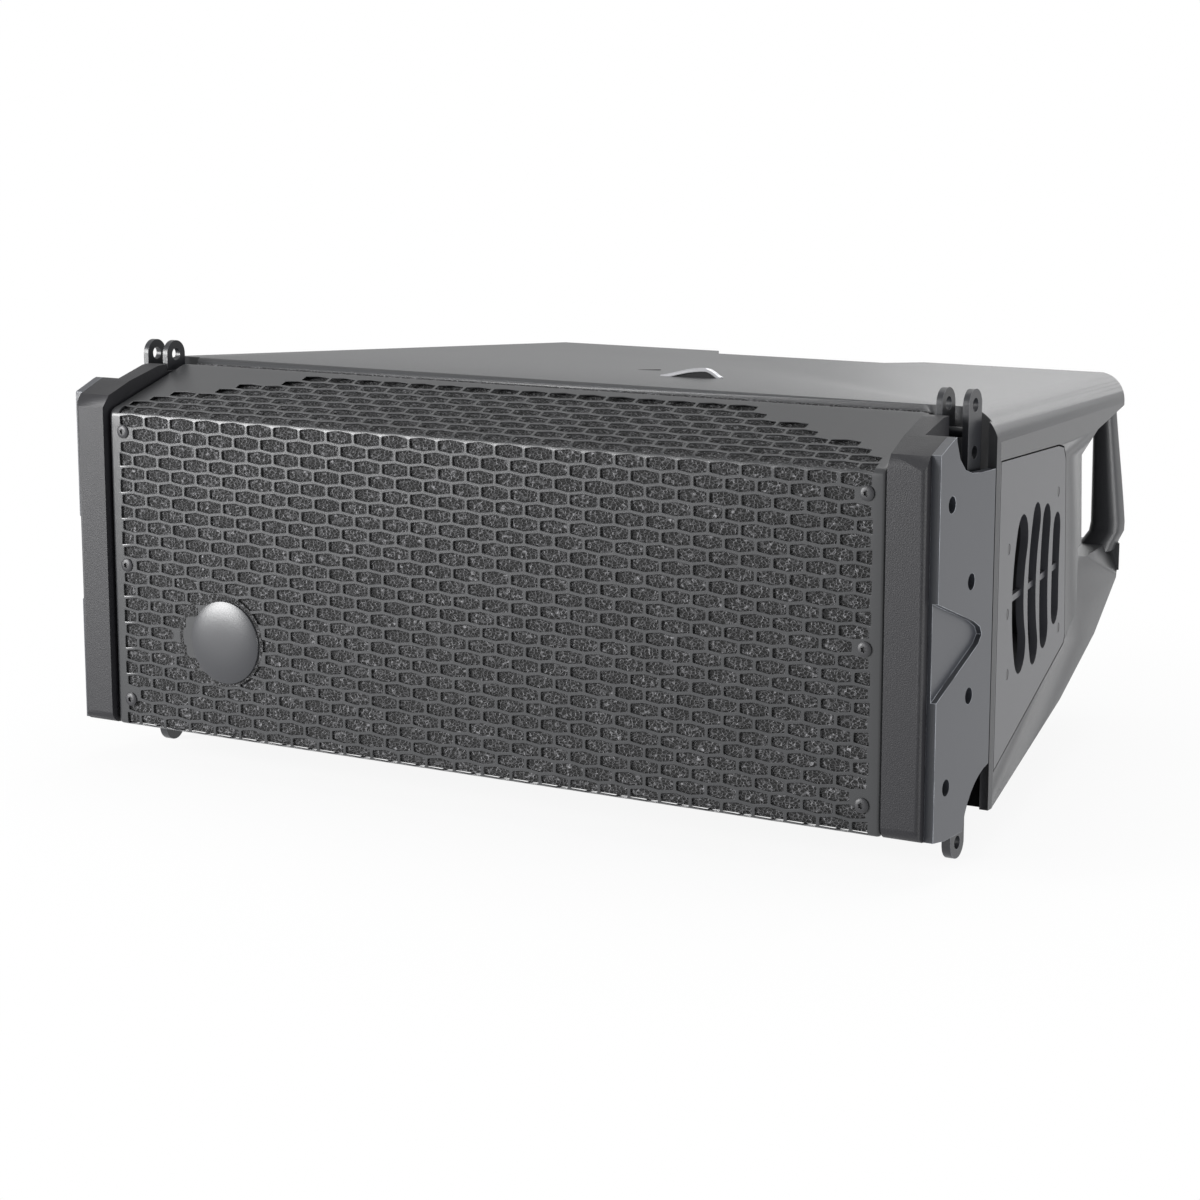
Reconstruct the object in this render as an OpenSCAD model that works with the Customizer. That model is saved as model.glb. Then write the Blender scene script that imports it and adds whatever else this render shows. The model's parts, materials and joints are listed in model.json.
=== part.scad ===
// Flown line array loudspeaker element: a compact two-way powered cabinet with two 8 inch woofers,
// a central high-frequency waveguide, side vent panels, rear corner handles and three-point rigging.
// Row frame: X to the right as seen from the front, Y to the rear, Z up, origin under the middle of
// the whole object at its lowest point. Inside the modules, places are given in the cabinet's own
// working frame: y = 0 on the face of the grille, z = 0 at the grille's mid height.

/* [Cabinet] */
// Width over the two rigging plates
cab_w = 640; // [600:1:700]
// Depth from the grille face to the rear corners
cab_d = 490; // [470:1:520]
// Height of the flat part of the grille face
face_h = 215; // [205:1:225]
// Width across the rear corners
rear_w = 500; // [470:1:540]
// Rise of the upper grille slope
slope_rise = 29; // [20:1:32]
// Depth over which the upper grille slope rises
slope_run = 82; // [76:1:86]
// How much lower the roof is at the rear than at the front
roof_fall = 19; // [10:1:24]
// Thickness of the moulded walls
wall_t = 9; // [7:0.5:11]
// Radius of the vertical rear corners
corner_r = 22; // [14:1:26]
// Radius of the round between roof and side walls
edge_r = 24; // [8:1:25]

/* [Grille] */
// Thickness of the grille sheet
sheet_t = 1.5; // [1:0.1:2]
// Thickness of the foam behind the grille
foam_t = 5; // [4:0.5:6]
// Diameter of the bare round badge
badge_d = 56; // [40:1:60]

/* [Rigging] */
// Thickness of a side rigging plate
plate_t = 6; // [5:0.5:8]
// Radius of the pin holes in the links, lugs and rear arm
pin_hole_r = 4.1; // [4.05:0.05:5]
// Thickness of a front link strap
strap_t = 4; // [3:0.5:5]
// Radius of a link eye
eye_r = 9.5; // [8:0.5:11]
// Height of the raised link eye over the grille's mid height
link_eye_z = 139.5; // [136:0.5:144]
// Depth of the lug eye below the grille's mid height
lug_eye_z = 125.5; // [120:0.5:130]
// Distance of both eyes behind the grille face
eye_y = 73; // [70:1:76]
// Length of the rear splay arm between its pivot and its last hole
arm_len = 118; // [100:1:120]

/* [Drivers] */
// Distance of each woofer axis from the middle
woofer_x = 172; // [170:1:174]
// Outer radius of a woofer flange
woofer_r = 100; // [98:0.5:101]
// Width of the waveguide mouth
mouth_w = 104; // [90:1:108]
// Height of the waveguide mouth
mouth_h = 176; // [150:1:180]

/* [Amplifier] */
// Width of the rear amplifier panel
amp_w = 138; // [130:1:140]
// Number of cooling fins on each half of the heat sink
fin_count = 9; // [6:1:10]

/* [Hidden] */
$fn = 64;

half_h = face_h / 2;
half_w = cab_w / 2;
frame_back = 87;
frame_front = -4;
frame_in = 290;
frame_in_back = 283;
frame_out = half_w - plate_t;
base_z = -106;
rear_face = 456;
notch_out = 88;
notch_in = 71;
roof_z = half_h + slope_rise;
roof_y = slope_run + 2;
rear_roof_z = roof_z - roof_fall;
lug_r = 10;
lift = lug_eye_z + lug_r;
mid_y = (frame_front + cab_d) / 2;

// Side wall line: from the plate's rear edge to the rear corner
wall_turn = atan((half_w - rear_w / 2) / (cab_d - frame_back - 1));

function roof_at(y) = roof_z - roof_fall * (y - roof_y) / (cab_d - roof_y);
function arc(cy, cz, ry, rz, a0, a1, n) =
    [for (i = [0:n]) let (a = a0 + (a1 - a0) * i / n) [cy + ry * cos(a), cz + rz * sin(a)]];

belly = [[14, base_z], [frame_back + 1, base_z], [280, -79], [390, -55], [cab_d, -18]];
side_outer = concat(belly, [[cab_d, rear_roof_z], [roof_y, roof_z], [roof_y, half_h + 21], [14, half_h - 4]]);
belly_in = [[31, base_z + wall_t], [frame_back + 1, base_z + wall_t], [280, -79 + wall_t + 0.2],
    [390, -55 + wall_t + 0.4], [cab_d - wall_t, -20 + wall_t]];
side_inner = concat(belly_in, [[cab_d - wall_t, roof_at(cab_d - wall_t) - wall_t],
    [roof_y + 6, roof_at(roof_y + 6) - wall_t], [31, half_h - 4]]);

// Places everything in the row frame
module at_row() {
    translate([0, -mid_y, lift])
        children();
}

// Draws the right-hand side, or its mirror image on the left
module on_side(right) {
    at_row()
        if (right) children();
        else mirror([1, 0, 0]) children();
}

// Prism of a (y, z) outline between two x values
module side_prism(x0, x1, pts) {
    translate([x0, 0, 0])
        rotate([90, 0, 90])
            linear_extrude(height = x1 - x0)
                polygon(pts);
}

// Prism of an (x, y) outline between two z values
module plan_prism(z0, z1, pts) {
    translate([0, 0, z0])
        linear_extrude(height = z1 - z0)
            polygon(pts);
}

module block(x0, x1, y0, y1, z0, z1) {
    translate([x0, y0, z0])
        cube([x1 - x0, y1 - y0, z1 - z0]);
}

// Round bar along +X, +Y or +Z from a start point
module bar_x(x, y, z, r, l) {
    translate([x, y, z])
        rotate([0, 90, 0])
            cylinder(h = l, r = r);
}
module bar_y(x, y, z, r, l) {
    translate([x, y, z])
        rotate([-90, 0, 0])
            cylinder(h = l, r = r);
}

// Turned part on an axis along +Y: the outline is (radius, distance behind the grille face)
module turned(x, pts) {
    translate([x, 0, 0])
        rotate([-90, 0, 0])
            rotate_extrude()
                polygon(pts);
}

// Frame of the tapered right side wall: x outwards from the wall, y along it, z up
module on_wall() {
    translate([half_w, frame_back + 1, 0])
        rotate([0, 0, wall_turn])
            children();
}

// Half width of the side wall at a depth, and the centre of the rear corner round
function wall_at(y) = half_w - (y - frame_back - 1) * tan(wall_turn);
function plan_half(t) =
    let (inset = t / cos(wall_turn), r = corner_r - t, cy = cab_d - corner_r,
        cx = wall_at(cy) - corner_r / cos(wall_turn))
    concat([[280 - t, 14], [280 - t, frame_back + 1 + t]],
        [[wall_at(frame_back + 1 + t) - inset, frame_back + 1 + t]],
        [for (i = [0:8]) let (a = wall_turn + (90 - wall_turn) * i / 8) [cx + r * cos(a), cy + r * sin(a)]],
        [[notch_out - t / 2, cab_d - t], [notch_in - t / 2, rear_face - t]]);
function mirrored(pts) = concat(pts, [for (i = [len(pts) - 1:-1:0]) [-pts[i][0], pts[i][1]]]);

pocket = [[327, 79], [335, 18], [352, 6], [400, -3], [cab_d + 5, -5], [cab_d + 5, 98], [380, 90]];
pocket_wall = [[317, 90], [324, 14], [346, -5], [400, -13], [cab_d + 5, -15], [cab_d + 5, 108], [378, 100]];
pocket_x = 120;
post_x = 224;
post_y = cab_d - 24;

door = [[4, 104], [167, 94], [183, 91], [190, 83], [203, -36], [200, -41], [4, -83]];
door_gap = 1;
door_t = 5;
// Each vent slot: middle along the wall, width, radius of its curve, half angle to the centre of its end
slots = [[58, 32, 68, 30], [97, 23, 88, 27.4], [132, 24, 145, 14], [167, 22, 300, 5]];
slot_z = 14;
vent_screw_places = [[170, 64], [182, -28], [30, 48], [30, 8], [34, -30]];

function slot_cap(mid, w, r, a, a0) =
    arc(mid + r + r * cos(a), slot_z + r * sin(a), w / 2, w / 2, a0 + 20, a0 + 160, 7);
function slot_points(mid, w, r, half) =
    concat(arc(mid + r, slot_z, r + w / 2, r + w / 2, 180 - half, 180 + half, 12),
        slot_cap(mid, w, r, 180 + half, 180 + half),
        arc(mid + r, slot_z, r - w / 2, r - w / 2, 180 + half, 180 - half, 12),
        slot_cap(mid, w, r, 180 - half, 360 - half));

function grow(pts, cx, cz, d) =
    [for (p = pts) [p[0] + (p[0] > cx ? d : -d), p[1] + (p[1] > cz ? d : -d)]];

module plan_body(t, z0, z1) {
    plan_prism(z0, z1, mirrored(plan_half(t)));
}

// Takes the edge between roof and side wall off to a round of radius edge_r
roof_tilt = -atan(roof_fall * cos(wall_turn) / (cab_d - roof_y));
module roof_edge_cut() {
    on_wall()
        translate([0, 0, roof_z])
            rotate([roof_tilt, 0, 0])
                difference() {
                    block(-edge_r, 6, -10, 460, -edge_r, 6);
                    bar_y(-edge_r, -20, -edge_r, edge_r + 0.3, 500);
                }
}

module shell_side_cuts() {
    // handle pocket, open to the side and to the rear
    side_prism(pocket_x, half_w, pocket);
    on_wall() {
        // seat and opening of the vent panel
        side_prism(-door_t, 5, grow(door, 100, 10, door_gap));
        side_prism(-30, 5, [[20, 82], [186, 82], [186, -40], [20, -54]]);
        // finger scoop under the handle
        translate([0, 240, 0])
            rotate([-90, 0, 0])
                linear_extrude(height = 152)
                    polygon([[1, 30], [1, -18], [-13, -4.4]]);
    }
}

module cabinet_shell() {
    color([0.12, 0.12, 0.13])
        at_row()
            difference() {
                intersection() {
                    side_prism(-half_w, half_w, side_outer);
                    union() {
                        plan_body(0, -150, 160);
                        // lips of the side walls, up to the rear edges of the rigging plates
                        for (side = [0, 1])
                            mirror([side, 0, 0])
                                block(frame_out + 0.4, half_w, plate_back + 1, frame_back + 2, -150, 160);
                    }
                }
                difference() {
                    intersection() {
                        side_prism(-half_w, half_w, side_inner);
                        plan_body(wall_t, -150, 160);
                    }
                    side_prism(pocket_x - wall_t, half_w, pocket_wall);
                    side_prism(-half_w, wall_t - pocket_x, pocket_wall);
                }
                // everything ahead of the roof's front edge belongs to the collar
                block(-281, 281, 0, roof_y, -150, 160);
                // opening of the amplifier
                block(-60, 60, rear_face - wall_t - 2, rear_face + 2, -24, 106);
                shell_side_cuts();
                mirror([1, 0, 0]) shell_side_cuts();
                roof_edge_cut();
                mirror([1, 0, 0]) roof_edge_cut();
            }
}

module front_collar() {
    color([0.1, 0.1, 0.11])
        at_row()
            difference() {
                intersection() {
                    side_prism(-280, 280, side_outer);
                    block(-280, 280, 14, roof_y - 0.1, -150, 160);
                }
                intersection() {
                    side_prism(-271, 271, side_inner);
                    block(-271, 271, 30, roof_y + 1, -150, 160);
                }
                // seat of the baffle
                block(-272, 272, 13, 32, base_z + 2, half_h - 4);
            }
}

module front_baffle() {
    color([0.1, 0.09, 0.08])
        at_row()
            difference() {
                block(-271.8, 271.8, 16, 31.8, base_z + 2.2, half_h - 4.4);
                for (side = [-1, 1])
                    bar_y(side * woofer_x, 15, 0, 91, 18);
                block(-mouth_w / 2 - 5, mouth_w / 2 + 5, 15, 33, -mouth_h / 2 - 5, mouth_h / 2 + 5);
            }
}

grille_top = half_h + slope_rise - 0.5;
grille_line = [[40, -half_h - 1.5], [0, -half_h], [0, half_h], [slope_run, grille_top]];
function grille_behind(t) =
    [[slope_run, grille_top - t * 1.06], [t, half_h - t * 0.18],
     [t, -half_h + t * 0.96], [40, -half_h - 1.5 + t]];

module grille_plan(t) {
    plan_prism(-150, 160, mirrored([[frame_in - 1.5 - t, -2], [frame_in_back - 1.5 - t, frame_back]]));
}

module grille() {
    color([0.2, 0.2, 0.21])
        at_row()
            difference() {
                intersection() {
                    side_prism(-half_w, half_w, concat(grille_line, grille_behind(sheet_t)));
                    grille_plan(0);
                }
                grille_screw_holes();
            }
}

foam_line = [[sheet_t + 0.1, -half_h + 3], [sheet_t + 0.1, half_h - 1.2],
    [slope_run - 2, grille_top - 3], [slope_run - 2, grille_top - 3 - foam_t],
    [sheet_t + foam_t, half_h - 5], [sheet_t + foam_t, -half_h + 3]];
module grille_foam() {
    color([0.07, 0.07, 0.08])
        at_row()
            difference() {
                intersection() {
                    side_prism(-half_w, half_w, foam_line);
                    grille_plan(6);
                }
                grille_screw_holes();
            }
}

screw_x = 276;
screw_z = [94, 3, -90];
module grille_screw_holes() {
    for (side = [-1, 1])
        for (z = screw_z)
            bar_y(side * screw_x, -1, z, 1.8, 12);
}
module grille_screws() {
    color([0.25, 0.25, 0.26])
        at_row()
            for (side = [-1, 1])
                for (z = screw_z)
                    difference() {
                        union() {
                            bar_y(side * screw_x, -1.8, z, 3.6, 1.8);
                            bar_y(side * screw_x, 0, z, 1.7, 13);
                        }
                        block(side * screw_x - 0.5, side * screw_x + 0.5, -3, -0.8, z - 2.2, z + 2.2);
                        block(side * screw_x - 2.2, side * screw_x + 2.2, -3, -0.8, z - 0.5, z + 0.5);
                    }
}

badge_x = -193;
badge_z = -42;
module badge() {
    color([0.15, 0.15, 0.16])
        at_row()
            translate([0, 0, badge_z])
                turned(badge_x, [[0, -3.8], [badge_d / 2 - 5, -3.3], [badge_d / 2 - 1, -2.4],
                    [badge_d / 2, -1.4], [badge_d / 2, -0.1], [0, -0.1]]);
}

// Outline of the side casting and plate, with the upper rear corner cut for the link
side_line = concat(
    arc(frame_front + 8, base_z + 6, 8, 8, 180, 250, 4),
    [[20, -110], [frame_back, -110], [frame_back, roof_z - 1], [50, half_h + 26]],
    [[22, half_h + 18], [2, half_h + 10], [frame_front, half_h + 2]]);
link_cut = [[frame_back + 6, roof_z + 6], [24, roof_z + 6], [25, 124], [30, 113],
    [38, 106], [48, 103], [62, 101.8], [frame_back + 6, 101.5]];
lug_cut_r = 44;
lug_cut_z = -120;

module corner_cuts(x0, x1) {
    side_prism(x0, x1, link_cut);
    side_prism(x0, x1, concat([[frame_back + 6, lug_cut_z], [frame_back + 6, lug_cut_z + lug_cut_r]],
        arc(frame_back + 1, lug_cut_z, lug_cut_r, lug_cut_r, 90, 180, 10)));
}

plate_front = 3.5;
plate_back = 82;
nose_r = 3;
recess_depth = 3.5;
recess = [[frame_front - 2, 36], [54, 15], [64, 10], [67, 5], [62, 0], [frame_front - 2, -29]];
plate_holes = [[20, 88], [50, 39], [50, -29], [20, -78]];

// Rounds the outer front corner of the side casting
module nose_cut() {
    difference() {
        block(frame_out - nose_r, frame_out + 1, frame_front - 1, frame_front + nose_r, -150, 160);
        bar_z(frame_out - nose_r, frame_front + nose_r, -151, nose_r, 320);
    }
}

module side_frame(right) {
    color([0.13, 0.13, 0.14])
        on_side(right)
            difference() {
                intersection() {
                    side_prism(280, half_w, side_line);
                    plan_prism(-150, 160, [[frame_in, frame_front - 1], [frame_out, frame_front - 1],
                        [frame_out, frame_back], [frame_in_back, frame_back]]);
                }
                nose_cut();
                // slot of the link and slot of the lug, closed outside by the rigging plate
                block(287.5, frame_out + 1, 58, frame_back + 1, 46, roof_z + 5);
                block(296, frame_out + 1, 58, frame_back + 1, -112, -50);
                block(280, 289, 58, frame_back + 1, link_eye_z - eye_r - 1, roof_z + 5);
                corner_cuts(300, frame_out + 1);
                for (p = plate_holes)
                    bar_x(296, p[0], p[1], 5, 30);
            }
}

module rigging_plate(right) {
    color([0.2, 0.21, 0.23])
        on_side(right)
            difference() {
                intersection() {
                    side_prism(frame_out, half_w, side_line);
                    block(frame_out - 1, half_w + 1, plate_front, plate_back, -150, 160);
                }
                corner_cuts(frame_out - 1, half_w + 1);
                side_prism(half_w - recess_depth, half_w + 1, recess);
                for (p = plate_holes)
                    bar_x(frame_out - 1, p[0], p[1], 5, plate_t + 2);
            }
}

lug_x = 299;
lug_t = 6;
module lug_bar(right) {
    color([0.16, 0.16, 0.17])
        on_side(right)
            difference() {
                union() {
                    block(lug_x, lug_x + lug_t, eye_y - lug_r, eye_y + lug_r, -lug_eye_z, -56);
                    bar_x(lug_x, eye_y, -lug_eye_z, lug_r, lug_t);
                    block(296, frame_out, eye_y - lug_r, eye_y + lug_r, -66, -56);
                }
                bar_x(lug_x - 1, eye_y, -lug_eye_z, pin_hole_r, lug_t + 2);
            }
}

inner_strap_x = 289;
outer_strap_x = 306;
strap_bottom = 88;
module front_link(right) {
    color([0.15, 0.15, 0.16])
        on_side(right)
            difference() {
                union() {
                    for (x = [inner_strap_x, outer_strap_x]) {
                        block(x, x + strap_t, eye_y - eye_r, eye_y + eye_r, strap_bottom, link_eye_z);
                        bar_x(x, eye_y, link_eye_z, eye_r, strap_t);
                    }
                    block(inner_strap_x, outer_strap_x + 1, eye_y - 6, eye_y + 6, strap_bottom, 103);
                    bar_x(inner_strap_x + 1, eye_y, 123, 3, outer_strap_x - inner_strap_x + 1);
                }
                bar_x(inner_strap_x - 1, eye_y, link_eye_z, pin_hole_r, 30);
                bar_x(inner_strap_x - 1, eye_y, link_eye_z - 28, pin_hole_r, 30);
            }
}

module vent_panel(right) {
    color([0.16, 0.16, 0.17])
        on_side(right)
            on_wall()
                difference() {
                    union() {
                        difference() {
                            side_prism(-door_t, 0, door);
                            for (s = slots)
                                side_prism(-door_t - 1, 1, slot_points(s[0], s[1], s[2], s[3]));
                        }
                        // flat bar that ties the curved ribs together
                        block(-door_t, -2, 32, 188, slot_z - 2, slot_z + 2);
                    }
                    for (p = vent_screw_places) {
                        bar_x(-door_t - 1, p[0], p[1], 1.8, door_t + 2);
                        bar_x(-1.5, p[0], p[1], 3.3, 3);
                    }
                }
}

module vent_screws() {
    color([0.22, 0.22, 0.23])
        for (right = [false, true])
            on_side(right)
                on_wall()
                    for (p = vent_screw_places) {
                        bar_x(-door_t + 0.1, p[0], p[1], 1.7, door_t - 1.5);
                        bar_x(-1.45, p[0], p[1], 3, 1.3);
                    }
}

duct_box = [116, 269, -39, 78];
module port_duct(right) {
    color([0.1, 0.1, 0.11])
        on_side(right)
            difference() {
                intersection() {
                    block(215, half_w, duct_box[0], duct_box[1], duct_box[2], duct_box[3]);
                    on_wall() block(-200, -door_t - 0.2, 0, 400, -150, 150);
                }
                block(210, half_w, duct_box[0] + 4, duct_box[1] - 4, duct_box[2] + 4, duct_box[3] - 4);
            }
}

module handle_grip(right) {
    color([0.11, 0.11, 0.12])
        on_side(right)
            intersection() {
                plan_body(0, -10, 110);
                side_prism(post_x, half_w,
                    [[post_y, -4.2], [cab_d + 1, -4.7], [cab_d + 1, 97.5], [post_y, 95.8]]);
            }
}

// Woofer turned parts: radius first, then distance behind the grille face
flange_y = 12;
seat_y = 58;
magnet_y = 74;
module woofer_basket(right) {
    color([0.17, 0.17, 0.18])
        on_side(right)
            difference() {
                turned(woofer_x, [[89.4, flange_y], [woofer_r, flange_y], [woofer_r, 15.9], [90.6, 15.9],
                    [90.6, 27], [64, seat_y], [64, magnet_y], [30, magnet_y], [30, magnet_y - 3],
                    [61, magnet_y - 3], [61, seat_y - 1], [89.4, 25.5]]);
                for (a = [0:60:300])
                    translate([woofer_x, 0, 0])
                        rotate([0, a, 0])
                            block(-15, 15, 32, 54, 50, 110);
                for (a = [22.5:45:337.5])
                    translate([woofer_x, 0, 0])
                        rotate([0, a, 0])
                            bar_y(95.5, 11, 0, 2.6, 8);
            }
}

module woofer_magnet(right) {
    color([0.3, 0.3, 0.32])
        on_side(right)
            turned(woofer_x, [[0, 62], [24.4, 62], [24.4, 100], [26.9, 100], [26.9, magnet_y + 0.05],
                [60, magnet_y + 0.05], [60, 108], [0, 108]]);
}

cap_curve = 42.5;
cap_y = 32;
module woofer_cone(right) {
    color([0.09, 0.09, 0.1])
        on_side(right) {
            turned(woofer_x, [[78, 19], [78, 20.4], [27.6, 55], [26.4, 55], [26.4, 54.3]]);
            // dust cap
            turned(woofer_x, concat(
                [for (i = [0:9]) [cap_curve * sin(i * 6), cap_y + cap_curve * (1 - cos(i * 6))]],
                [for (i = [9:-1:0])
                    [(cap_curve - 1.4) * sin(i * 6), cap_y + 1.2 + cap_curve * (1 - cos(i * 6))]]));
        }
}

module woofer_surround(right) {
    color([0.06, 0.06, 0.06])
        on_side(right)
            turned(woofer_x, concat([for (a = [180:-20:0]) [83.5 + 5.4 * cos(a), 18.8 - 5.4 * sin(a) * 0.9]],
                [for (a = [0:20:180]) [83.5 + 4.2 * cos(a), 18.9 - 4.2 * sin(a) * 0.9]]));
}

module woofer_spider(right) {
    color([0.5, 0.42, 0.2])
        on_side(right)
            turned(woofer_x, concat(
                [for (i = [0:14]) [26.7 + i * 2, 61 + 1.2 * cos(i * 90)]],
                [for (i = [14:-1:0]) [26.7 + i * 2, 62 + 1.2 * cos(i * 90)]]));
}

module voice_coil(right) {
    color([0.6, 0.35, 0.2])
        on_side(right)
            turned(woofer_x, [[25.2, 55.1], [26.2, 55.1], [26.2, 88], [25.2, 88]]);
}

module woofer_screws() {
    color([0.12, 0.12, 0.12])
        for (right = [false, true])
            on_side(right)
                for (a = [22.5:45:337.5])
                    translate([woofer_x, 0, 0])
                        rotate([0, a, 0]) {
                            bar_y(95.5, 9.5, 0, 4, 2.4);
                            bar_y(95.5, 11.9, 0, 2.4, 3.9);
                        }
}

driver_y = 116;
throat_r = 12.7;
module horn_solid(w, h, r, y0, y1) {
    hull() {
        block(-w / 2, w / 2, y0, y0 + 0.5, -h / 2, h / 2);
        translate([0, y1, 0])
            rotate([-90, 0, 0])
                cylinder(h = 0.5, r = r, $fn = 24);
    }
}
module waveguide() {
    color([0.09, 0.09, 0.1])
        at_row()
            difference() {
                union() {
                    horn_solid(mouth_w + 8, mouth_h + 8, throat_r + 5, 15.9, driver_y - 6);
                    block(-mouth_w / 2 - 12, mouth_w / 2 + 12, flange_y, 15.9,
                        -mouth_h / 2 - 10, mouth_h / 2 + 10);
                    bar_y(0, driver_y - 6, 0, 40, 5.9);
                }
                horn_solid(mouth_w, mouth_h, throat_r, flange_y - 1, driver_y - 8);
                bar_y(0, driver_y - 9, 0, throat_r, 12);
            }
}

module compression_driver() {
    color([0.22, 0.22, 0.24])
        at_row()
            difference() {
                bar_y(0, driver_y, 0, 44, 46);
                bar_y(0, driver_y - 1, 0, throat_r, 16);
                bar_y(0, driver_y + 14, 0, 26, 12);
            }
}

module hf_diaphragm() {
    color([0.7, 0.7, 0.72])
        at_row()
            turned(0, concat([for (i = [0:6]) [i * 4, driver_y + 16 + 5 * (1 - cos(i * 9))]],
                [for (i = [6:-1:0]) [i * 4, driver_y + 16.6 + 5 * (1 - cos(i * 9))]]));
}

module internal_brace() {
    color([0.35, 0.26, 0.16])
        at_row()
            for (side = [-1, 1])
                intersection() {
                    side_prism(side * 100 - 6, side * 100 + 6, side_inner);
                    block(-200, 200, 125, 300, -150, 150);
                }
}

module acoustic_lining() {
    color([0.3, 0.3, 0.32])
        at_row()
            for (side = [-1, 1])
                block(side * 160 - 50, side * 160 + 50, 140, 290, 98, 112);
}

shelf_z = -20;
amp_low = -27;
amp_high = 115;
panel_back = rear_face + 3;
socket_x = 42;
socket_low = -6;
socket_high = 24;
knob_z = 52;
button_z = 68;
module amp_panel() {
    color([0.14, 0.14, 0.15])
        at_row()
            difference() {
                union() {
                    block(-amp_w / 2, amp_w / 2, rear_face, panel_back, amp_low, amp_high);
                    // shelf that carries the boards
                    block(-56, 56, 300, rear_face, shelf_z - 2, shelf_z);
                }
                for (z = [socket_low, socket_high]) {
                    bar_y(-socket_x, rear_face - 1, z, 11.2, 6);
                    bar_y(socket_x, rear_face - 1, z, 12.2, 6);
                }
                bar_y(-socket_x, rear_face - 1, knob_z, 3.6, 6);
                bar_y(-socket_x, rear_face - 1, button_z, 3.4, 6);
                block(-socket_x - 3.6, -socket_x + 3.6, rear_face - 1, panel_back + 1,
                    socket_low + 5, socket_low + 13.4);
                block(socket_x - 9.5, socket_x + 9.5, rear_face - 1, panel_back + 1, knob_z - 1, knob_z + 13);
                for (x = [-58, -53, -48])
                    bar_y(x, rear_face - 1, 76, 1.6, 6);
                for (x = [-62, 62])
                    for (z = [amp_low + 7, 44, amp_high - 7])
                        bar_y(x, rear_face - 1, z, 1.9, 6);
            }
}

fin_y = 480;
module amp_heatsink() {
    color([0.2, 0.2, 0.21])
        at_row()
            for (side = [-1, 1]) {
                block(side * 38 - 19, side * 38 + 19, panel_back, panel_back + 3, 82, 106);
                for (i = [0:fin_count - 1])
                    translate([i * 36 / (fin_count - 1), 0, 0])
                        block(side * 38 - 19, side * 38 - 17, panel_back + 3, fin_y, 82, 106);
            }
}

module amp_board() {
    color([0.1, 0.3, 0.16])
        at_row() {
            block(-54, 54, 352, 440, 46, 48);
            for (x = [-40, -14, 14, 40])
                bar_z(x, 372, 48, 8, 26);
            block(-48, 48, 400, 432, 48, 60);
        }
}
module bar_z(x, y, z, r, l) {
    translate([x, y, z])
        cylinder(h = l, r = r);
}

module dsp_board() {
    color([0.1, 0.2, 0.35])
        at_row() {
            block(-54, 54, 350, 431, 26, 27.6);
            block(-12, 12, 380, 404, 27.6, 31);
            block(22, 40, 384, 396, 27.6, 32);
        }
}

module power_supply() {
    color([0.45, 0.4, 0.3])
        at_row() {
            block(-54, 54, 302, 346, shelf_z, shelf_z + 2);
            bar_z(-24, 324, shelf_z + 2, 20, 30);
            block(6, 44, 306, 342, shelf_z + 2, shelf_z + 30);
            for (x = [-46, -16, 14, 46])
                block(x - 2, x + 2, 352, 356, shelf_z, 26);
            for (x = [-50, 50])
                block(x - 2, x + 2, 358, 362, 27.6, 46);
        }
}

module socket(x, z, r, hole_r) {
    difference() {
        union() {
            bar_y(x, rear_face - 22, z, r - 0.3, 25);
            block(x - 13, x + 13, panel_back, panel_back + 1.6, z - 14.5, z + 14.5);
        }
        difference() {
            bar_y(x, rear_face - 14, z, hole_r, 20);
            if (r > 11.5) bar_y(x, rear_face - 14, z, 5, 12);
        }
    }
}
module mains_inlet() {
    color([0.1, 0.2, 0.5]) at_row() socket(socket_x, socket_low, 12.2, 9.5);
}
module mains_link() {
    color([0.55, 0.55, 0.57]) at_row() socket(socket_x, socket_high, 12.2, 9.5);
}
module xlr_pins(x, z, y0, l) {
    for (a = [90, 210, 330])
        bar_y(x + 4 * cos(a), y0, z + 4 * sin(a), 1.2, l);
}
module xlr_input() {
    color([0.18, 0.18, 0.19])
        at_row()
            difference() {
                socket(-socket_x, socket_low, 11.2, 8.2);
                block(-socket_x - 3.2, -socket_x + 3.2, rear_face - 8, panel_back + 2,
                    socket_low + 7, socket_low + 13);
            }
}
module xlr_output() {
    color([0.18, 0.18, 0.19])
        at_row() {
            socket(-socket_x, socket_high, 11.2, 9);
            xlr_pins(-socket_x, socket_high, rear_face - 14.1, 12);
        }
}
module xlr_latch() {
    color([0.6, 0.6, 0.62])
        at_row()
            block(-socket_x - 2.8, -socket_x + 2.8, rear_face - 3, panel_back + 3.4,
                socket_low + 8.6, socket_low + 12.6);
}

module level_knob() {
    color([0.08, 0.08, 0.09])
        at_row()
            difference() {
                union() {
                    bar_y(-socket_x, panel_back + 0.4, knob_z, 7.5, 9);
                    bar_y(-socket_x, rear_face - 10, knob_z, 3.2, 16);
                }
                block(-socket_x - 0.6, -socket_x + 0.6, panel_back + 8.6, panel_back + 11,
                    knob_z, knob_z + 9);
            }
}
module preset_button() {
    color([0.5, 0.5, 0.52])
        at_row() {
            bar_y(-socket_x, rear_face - 4, button_z, 3, 9);
            bar_y(-socket_x, rear_face - 1.9, button_z, 4.6, 1.4);
        }
}
module power_switch() {
    color([0.07, 0.07, 0.07])
        at_row()
            translate([socket_x, panel_back - 1, knob_z + 6])
                rotate([10, 0, 0])
                    union() {
                        translate([-8.5, -3, -5.4])
                            cube([17, 5.4, 10.8]);
                        // pivot stubs
                        translate([-9.2, 0, 0])
                            rotate([0, 90, 0])
                                cylinder(h = 18.4, r = 1.5);
                    }
}
module status_leds() {
    color([0.2, 0.8, 0.3])
        at_row()
            for (x = [-58, -53, -48])
                bar_y(x, rear_face - 2, 76, 1.5, 5.6);
}
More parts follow.
